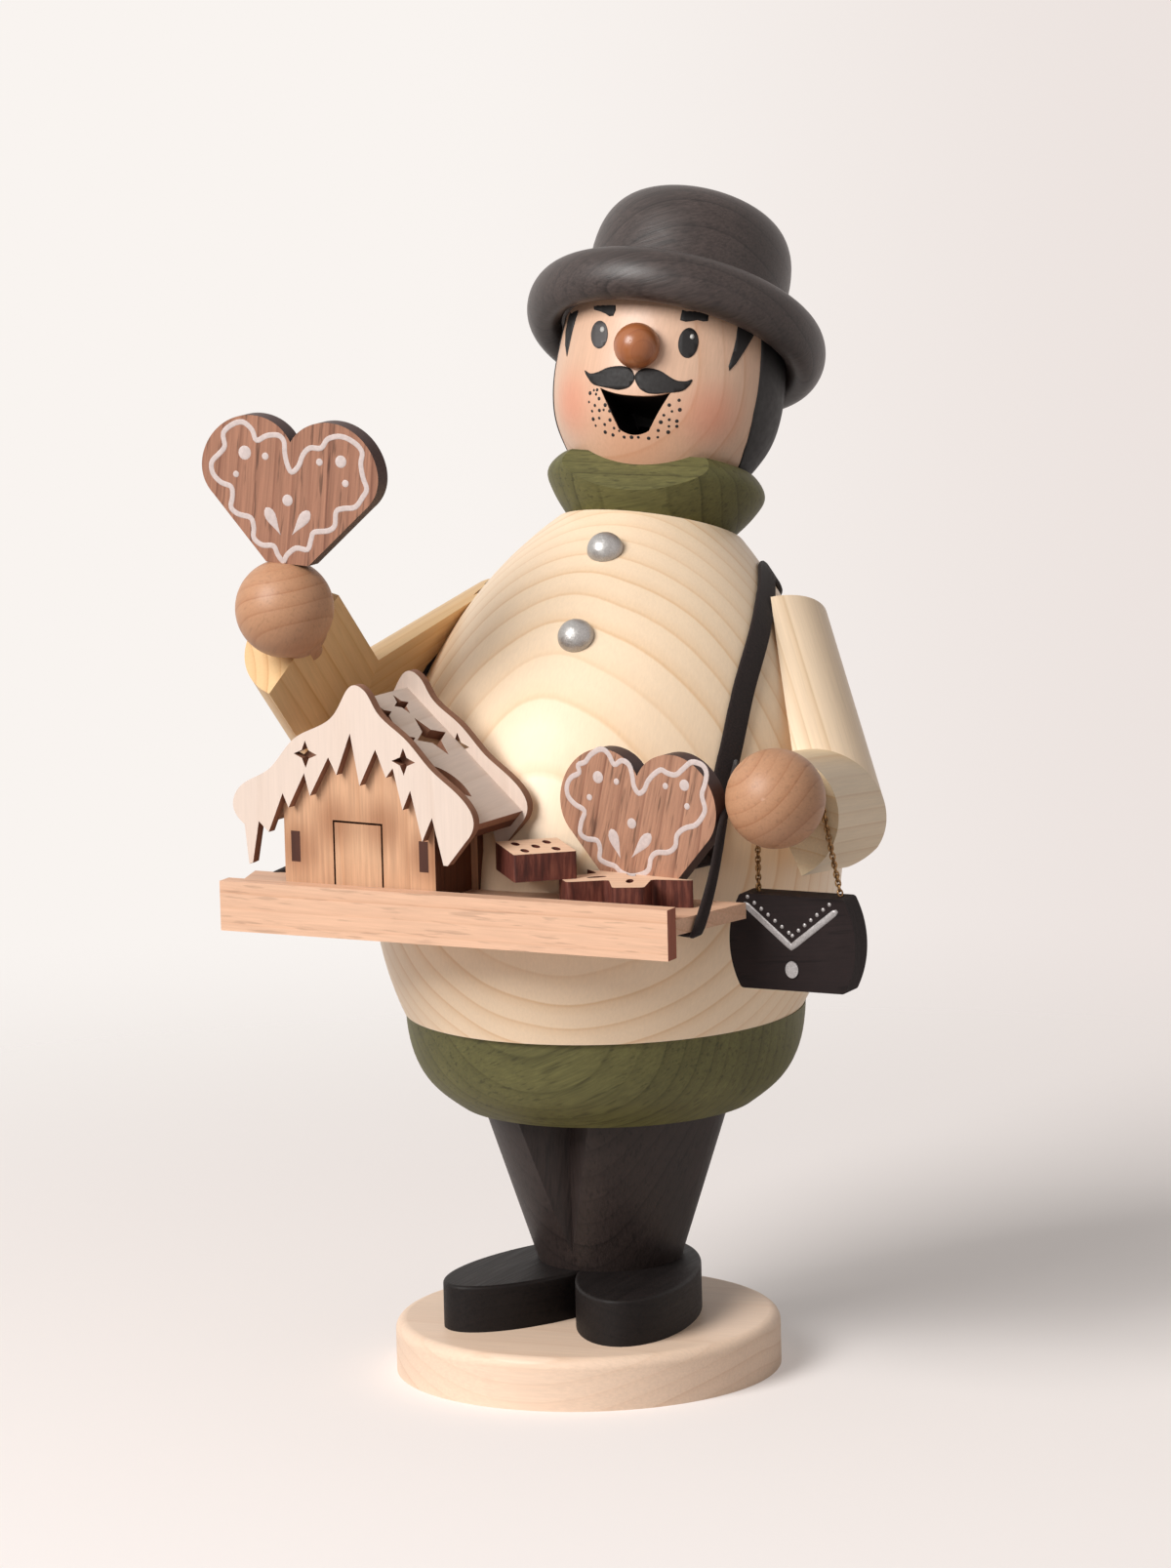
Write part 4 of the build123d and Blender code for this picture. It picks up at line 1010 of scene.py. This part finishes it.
def head_material():
    """Flesh-toned wood with rosy cheeks, painted shade towards the chin and a dark open mouth."""
    nodes = Nodes("face wood")
    colour, fibres = wood_colour(nodes, face_early, face_late, 3.1, face_pith, (0.1, 0.3, 1), depth=0.45)
    # Painted shade: the wood turns darker and browner towards the chin; the cheeks then get their rosy paint
    chin_shade_centre = leaning_point(face_turn, 16 * MM, chin_shade_height * MM)
    chin_shade_and_blush = tinted(nodes, colour, chin_shade_centre, 1 * MM, 16 * MM, 0.45, srgb(204, 138, 98))
    for angle, along_axis in cheeks:
        cheek = leaning_point(radians(angle), cheek_radius, along_axis * MM)
        chin_shade_and_blush = tinted(nodes, chin_shade_and_blush, cheek, 0.5 * MM, 8.5 * MM, 0.5, srgb(212, 118, 88))
    shifted = nodes.vector("SUBTRACT", nodes.place(), lean_origin)
    height = nodes.vector("DOT_PRODUCT", shifted, lean_up)
    foot = nodes.vector("SCALE", lean_up)
    nodes.join(foot.node.inputs["Scale"], height)
    away = nodes.vector("LENGTH", nodes.vector("SUBTRACT", shifted, foot))
    climb = nodes.math("MULTIPLY", nodes.math("SUBTRACT", height, mouth_skin_height), mouth_skin_slope)
    inside = nodes.math("LESS_THAN", away, nodes.math("ADD", climb, mouth_skin_radius))
    above = nodes.math("GREATER_THAN", height, mouth_bottom)
    below = nodes.math("LESS_THAN", height, mouth_top)
    mouth = nodes.math("MULTIPLY", inside, nodes.math("MULTIPLY", above, below))
    nodes.set(colour=nodes.mix(mouth, chin_shade_and_blush, srgb(20, 12, 11)), roughness=0.42, coat=0.15, coat_roughness=0.3)
    nodes.bump(fibres, 0.05 * MM, 0.5)
    return nodes.material


def plate_metal():
    nodes = Nodes("plate metal")
    marks = nodes.noise(nodes.vector("MULTIPLY", nodes.place(), (1, 0.05, 1)), 1500.0, 3.0)
    nodes.set(colour=srgb(176, 174, 170), metallic=0.9, roughness=nodes.grey(marks, [(0.3, 0.32), (0.7, 0.5)]))
    nodes.bump(marks, 0.02 * MM, 0.4)
    return nodes.material


house_turn = -5
house_roof_run = 22.0
house_roof_rise = 19.4
house_tab_middle = 7.6 * MM


def house_frame(direction):
    """A direction of the little house in the whole part's frame."""
    return Euler((0, 0, radians(house_turn))).to_matrix() @ Vector(direction)


def give(material, *names):
    for name in names:
        slots = frame["nodes"][name].data.materials
        slots.clear()
        slots.append(material)


def dress_clear_wood():
    """The torso, arms, base, hands, nose and hidden dowels."""
    pale = srgb(253, 227, 196)
    give(
        wood("torso spruce", pale, srgb(228, 182, 130), 2.6, (-12, 62, 78), (0.05, 0.34, 0.94), 0.42, 0.12,
             waver=0.8, depth=0.6, fibre=0.07),
        "torso",
    )
    left_fore = (0.185, -0.973, 0.135)
    yellow_late = srgb(204, 150, 92)
    left_upper = ("left arm spruce", pale, srgb(226, 190, 146), 1.9, (-20, 30, 96), (-0.469, 0.465, 0.751))
    left_lower = ("left sleeve spruce", srgb(232, 206, 168), srgb(214, 174, 126), 2.4, (40, 10, 60), left_fore)
    upper_grain = (0.234, 0.938, 0.255)
    lower_grain = (0.03, -0.72, 0.69)
    right_upper = ("right arm spruce", srgb(230, 192, 140), yellow_late, 2.0, (0, -20, 150), upper_grain)
    right_lower = ("right sleeve spruce", srgb(232, 194, 142), yellow_late, 2.2, (-70, -20, 90), lower_grain)
    nodes = ("left_upper_arm", "left_forearm", "right_upper_arm", "right_forearm")
    for node, look in zip(nodes, (left_upper, left_lower, right_upper, right_lower)):
        give(wood(*look, roughness=0.45, coat=0.1, waver=0.5, depth=0.6), node)
    maple = (srgb(240, 212, 188), srgb(222, 184, 154))
    give(wood("base maple", *maple, 2.6, (0, 0, -60), (1, 0.12, 0), depth=0.45), "base_plate")
    hidden = wood("dowel wood", srgb(222, 188, 146), srgb(196, 152, 108), 1.5, (30, 0, 0), (0, 0, 1), 0.6)
    give(hidden, "leg_dowel", "left_shoulder_dowel", "right_shoulder_dowel", "heart_peg")
    skin = (srgb(190, 142, 108), srgb(168, 114, 80))
    hands = [("left_hand", (-9, 0, 7), left_fore), ("right_hand", (-4, -2, 14), (0.5, -0.5, 0.5))]
    for node, shift, grain in hands:
        low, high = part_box(node)
        pith = (low + high) / 2 / MM + Vector(shift)
        give(wood(node + " stain", *skin, 2.4, pith, grain, 0.5, 0.08, depth=0.6, fibre=0.15, flecks=0.12), node)
    brown = (srgb(168, 102, 61), srgb(144, 79, 45))
    give(wood("nose stain", *brown, 1.6, (20, 0, 170), (0.3, 0, 1), 0.3, 0.25, depth=0.5), "nose")
    give(head_material(), "head")


def dress_stained_wood():
    """The coat's green rings and the black trousers, shoes, hat and purse."""
    green = (srgb(75, 72, 38), srgb(118, 114, 68))
    give(stained("hem green", green, 2.4, (20, 60, 50), (0.9, 0.1, 0.4), coat=0.1), "coat_hem")
    give(stained("collar green", green, 2.2, (0, 50, 160), (1, 0.1, 0.2), coat=0.05, relief=0.06), "collar")
    trouser = (srgb(34, 26, 25), srgb(60, 49, 46))
    give(stained("trouser black", trouser, 1.8, (0, 40, 30), (0, 0.1, 1), 0.4, 0.1, 0.06), "legs")
    shoe = (srgb(16, 11, 11), srgb(32, 26, 25))
    give(
        stained("shoe black", shoe, 2.0, (0, 0, -40), (0, 1, 0), relief=0.08, fibre=0.4, specular=0.2),
        "left_shoe", "right_shoe",
    )
    felt = (srgb(38, 31, 30), srgb(82, 70, 67))
    give(stained("hat stain", felt, 2.2, (-50, 60, 190), (1, 0.3, 0.3), 0.36, 0.12, 0.1, 0.6, 0.35), "hat")
    purse = (srgb(26, 19, 19), srgb(44, 34, 34))
    give(stained("purse black", purse, 1.6, (60, 30, 80), (1, 0, 0.1), 0.6, specular=0.15), "purse")


def dress_tray():
    """The tray, its hearts and its biscuits."""
    heart_late = srgb(118, 74, 58)
    burnt = srgb(52, 34, 32)
    walnut = dict(waver=2.2, depth=0.65, fibre=0.35, flecks=0.5)
    turn = radians(tray_heart_turn)
    hearts = {
        "raised_heart": (srgb(176, 126, 102), heart_late, 3.6, (0.12, 0, 1), (0, -1, 0), burnt, (40, -20, 150)),
        "tray_heart": (srgb(190, 142, 116), heart_late, 3.2, (0.25, 0, 1), (sin(turn), -cos(turn), 0), burnt,
                       (-30, 30, 100)),
    }
    for node, tones in hearts.items():
        give(cut_sheet(node.replace("_", " ") + " walnut", *tones, 0.5, **walnut), node)
    grain = (1, 0.02, -0.02)
    pith = (0, -20, 140)
    beech = (srgb(232, 188, 158), srgb(206, 152, 118))
    give(wood("beech", *beech, 2.4, pith, grain, 0.55, depth=0.5, fibre=0.22), "tray_floor")
    board = cut_sheet(
        "tray board beech", srgb(234, 190, 160), srgb(210, 156, 122), 2.4, grain, (1, 0, 0), srgb(132, 80, 64),
        pith, 0.55, swap_faces=True, depth=0.4, fibre=0.15, flecks=0.22,
    )
    give(board, "tray_board")
    give(biscuit("star biscuit", 92.2, (30, 60, 90)), "gingerbread_star")
    give(biscuit("square biscuit", 96.8, (10, 50, 90)), "gingerbread_square")


def dress_house():
    """The gingerbread house's ply, with painted shade on its side walls, and snow."""
    front = house_frame((0, -1, 0))
    up = (0, 0, 1)
    late = srgb(200, 146, 108)
    edge = srgb(74, 40, 26)
    scorched = []
    for node in ("house_left_wall", "house_right_wall"):
        low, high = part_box(node)
        scorched.append(Vector(((low.x + high.x) / 2, low.y, low.z + house_tab_middle)))
    low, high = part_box("house_door")
    scorched += [Vector((low.x, low.y, high.z)), Vector((high.x, low.y, high.z))]
    ply = dict(waver=1.6, depth=0.5, fibre=0.3, scorched=scorched)
    wall = cut_sheet("wall ply", srgb(224, 176, 140), late, 3.4, up, front, edge, (-60, 20, 90), **ply)
    give(wall, "house_front_wall", "house_back_wall")
    door = cut_sheet("door ply", srgb(226, 180, 144), late, 3.0, up, front, edge, (20, 40, 90), **ply)
    give(door, "house_door")
    # Painted shade: the side walls get a much darker copy of the walls' ply colour
    side_wall_shade_tones = (srgb(112, 66, 44), srgb(74, 40, 28))
    side_front = house_frame((1, 0, 0))
    side = cut_sheet("side ply with painted shade", *side_wall_shade_tones, 2.2, up, side_front, srgb(58, 32, 24), (-20, 40, 90), **ply)
    give(side, "house_left_wall", "house_right_wall")
    roof = (srgb(196, 150, 112), late, 3.0)
    snow = (srgb(228, 209, 196), srgb(212, 189, 172), 3.0)
    snow_edge = srgb(120, 84, 66)
    pith = (-20, 40, 160)
    white = dict(waver=1.6, depth=0.4, fibre=0.08)
    gable = cut_sheet("snow gable ply", *snow, up, front, snow_edge, pith, **white)
    give(gable, "snow_front_gable", "snow_back_gable")
    for direction, name in ((1, "left"), (-1, "right")):
        slope = house_frame((direction * house_roof_rise, 0, house_roof_run)).normalized()
        snow_ply = cut_sheet(name + " snow roof ply", *snow, (0, 1, 0), slope, snow_edge, pith, **white)
        give(snow_ply, "snow_" + name + "_roof")
        roof_ply = cut_sheet(name + " roof ply", *roof, (0, 1, 0), slope, edge, pith, **ply)
        give(roof_ply, "house_" + name + "_roof")


def dress_metal():
    give(silver("button silver", srgb(188, 186, 184), 0.34, 0.2), "upper_button", "lower_button")
    give(silver("clasp silver", srgb(186, 182, 182)), "purse_clasp")
    give(plate_metal(), "incense_plate", "incense_plate_pin")


# Floor, world and lights

backdrop = srgb(249, 244, 240)
# Painted shade: the backdrop's colour towards the camera's right, away from the key light
backdrop_right_shade = srgb(236, 227, 223)
floor_colour = srgb(219, 213, 211)
floor_glow = srgb(247, 240, 236)
floor_glow_strength = 0.22
floor_clear_radius = 0.12
floor_fade_radius = 0.42
world_colour = srgb(250, 246, 242)
world_strength = 0.3
backdrop_shade_start = -0.03
backdrop_shade_end = 0.09
light_target = Vector((0, 0, 0.1))
# Each lamp's place to the camera's right, towards the camera and up, then its size, power and colour
key_light = ((-0.93, 0.8, 0.86), 0.8, 27.5, (1.0, 0.985, 0.965))
fill_light = ((1.1, 0.9, 0.5), 1.2, 0.9, (1.0, 0.98, 0.97))


def make_world():
    """Soft light all round, and a pale backdrop that only the camera and reflections see, with painted shade
    towards the camera's right.
    """
    world = bpy.data.worlds.new("studio")
    bpy.context.scene.world = world
    nodes = Nodes("studio", world)
    path = nodes.add("LightPath").outputs
    seen = path["Is Camera Ray"]
    for name in ("Is Glossy Ray", "Is Transmission Ray"):
        seen = nodes.math("MAXIMUM", seen, path[name])
    # Painted shade on the backdrop, growing from its left to its right
    across = nodes.vector("DOT_PRODUCT", nodes.add("TexCoord").outputs["Generated"], camera_right)
    share = nodes.eased(across, backdrop_shade_start, backdrop_shade_end)
    shown = nodes.add("Background", {"Color": nodes.mix(share, backdrop, backdrop_right_shade)})
    light = nodes.tree.nodes["Background"]
    nodes.join(light.inputs["Color"], world_colour)
    nodes.join(light.inputs["Strength"], world_strength)
    mixed = nodes.add("MixShader", {0: seen, 1: light.outputs[0], 2: shown.outputs[0]})
    nodes.join(nodes.tree.nodes["World Output"].inputs["Surface"], mixed.outputs[0])


def make_floor():
    mesh = bpy.data.meshes.new("floor")
    bm = bmesh.new()
    bmesh.ops.create_circle(bm, cap_ends=True, segments=96, radius=floor_fade_radius)
    bm.to_mesh(mesh)
    bm.free()
    nodes = Nodes("floor")
    nodes.set(colour=floor_colour, roughness=0.9, specular=0.1)
    fade = nodes.eased(nodes.vector("LENGTH", nodes.place()), floor_clear_radius, floor_fade_radius)
    clear = nodes.add("BsdfTransparent")
    strength = nodes.math("MULTIPLY", nodes.add("LightPath").outputs["Is Camera Ray"], floor_glow_strength)
    glow = nodes.add("Emission", {"Color": floor_glow, "Strength": strength})
    lit = nodes.add("AddShader", {0: nodes.shader.outputs[0], 1: glow.outputs[0]})
    mixed = nodes.add("MixShader", {0: fade, 1: lit.outputs[0], 2: clear.outputs[0]})
    nodes.join(nodes.tree.nodes["Material Output"].inputs["Surface"], mixed.outputs[0])
    mesh.materials.append(nodes.material)
    floor = bpy.data.objects.new("floor", mesh)
    bpy.context.scene.collection.objects.link(floor)


def make_lamp(name, place, size, power, colour):
    data = bpy.data.lights.new(name, "AREA")
    data.shape = "SQUARE"
    data.size = size
    data.energy = power
    data.color = colour
    lamp = bpy.data.objects.new(name, data)
    towards_camera = -Vector((camera_forward.x, camera_forward.y, 0)).normalized()
    lamp.location = light_target + camera_right * place[0] + towards_camera * place[1] + Vector((0, 0, place[2]))
    lamp.rotation_euler = (light_target - lamp.location).to_track_quat("-Z", "Y").to_euler()
    bpy.context.scene.collection.objects.link(lamp)


make_camera()
make_world()
make_floor()
make_lamp("key", *key_light)
make_lamp("fill", *fill_light)
dress_clear_wood()
dress_stained_wood()
dress_tray()
dress_house()
dress_metal()
make_face_paint()
make_hair()
make_icing("raised_icing", *heart_plane("raised_heart", 0), **raised_icing)
make_icing("tray_icing", *heart_plane("tray_heart", tray_heart_turn), **tray_icing)
make_purse_paint()
make_chain()
make_straps()

bpy.context.scene.view_settings.view_transform = "Standard"
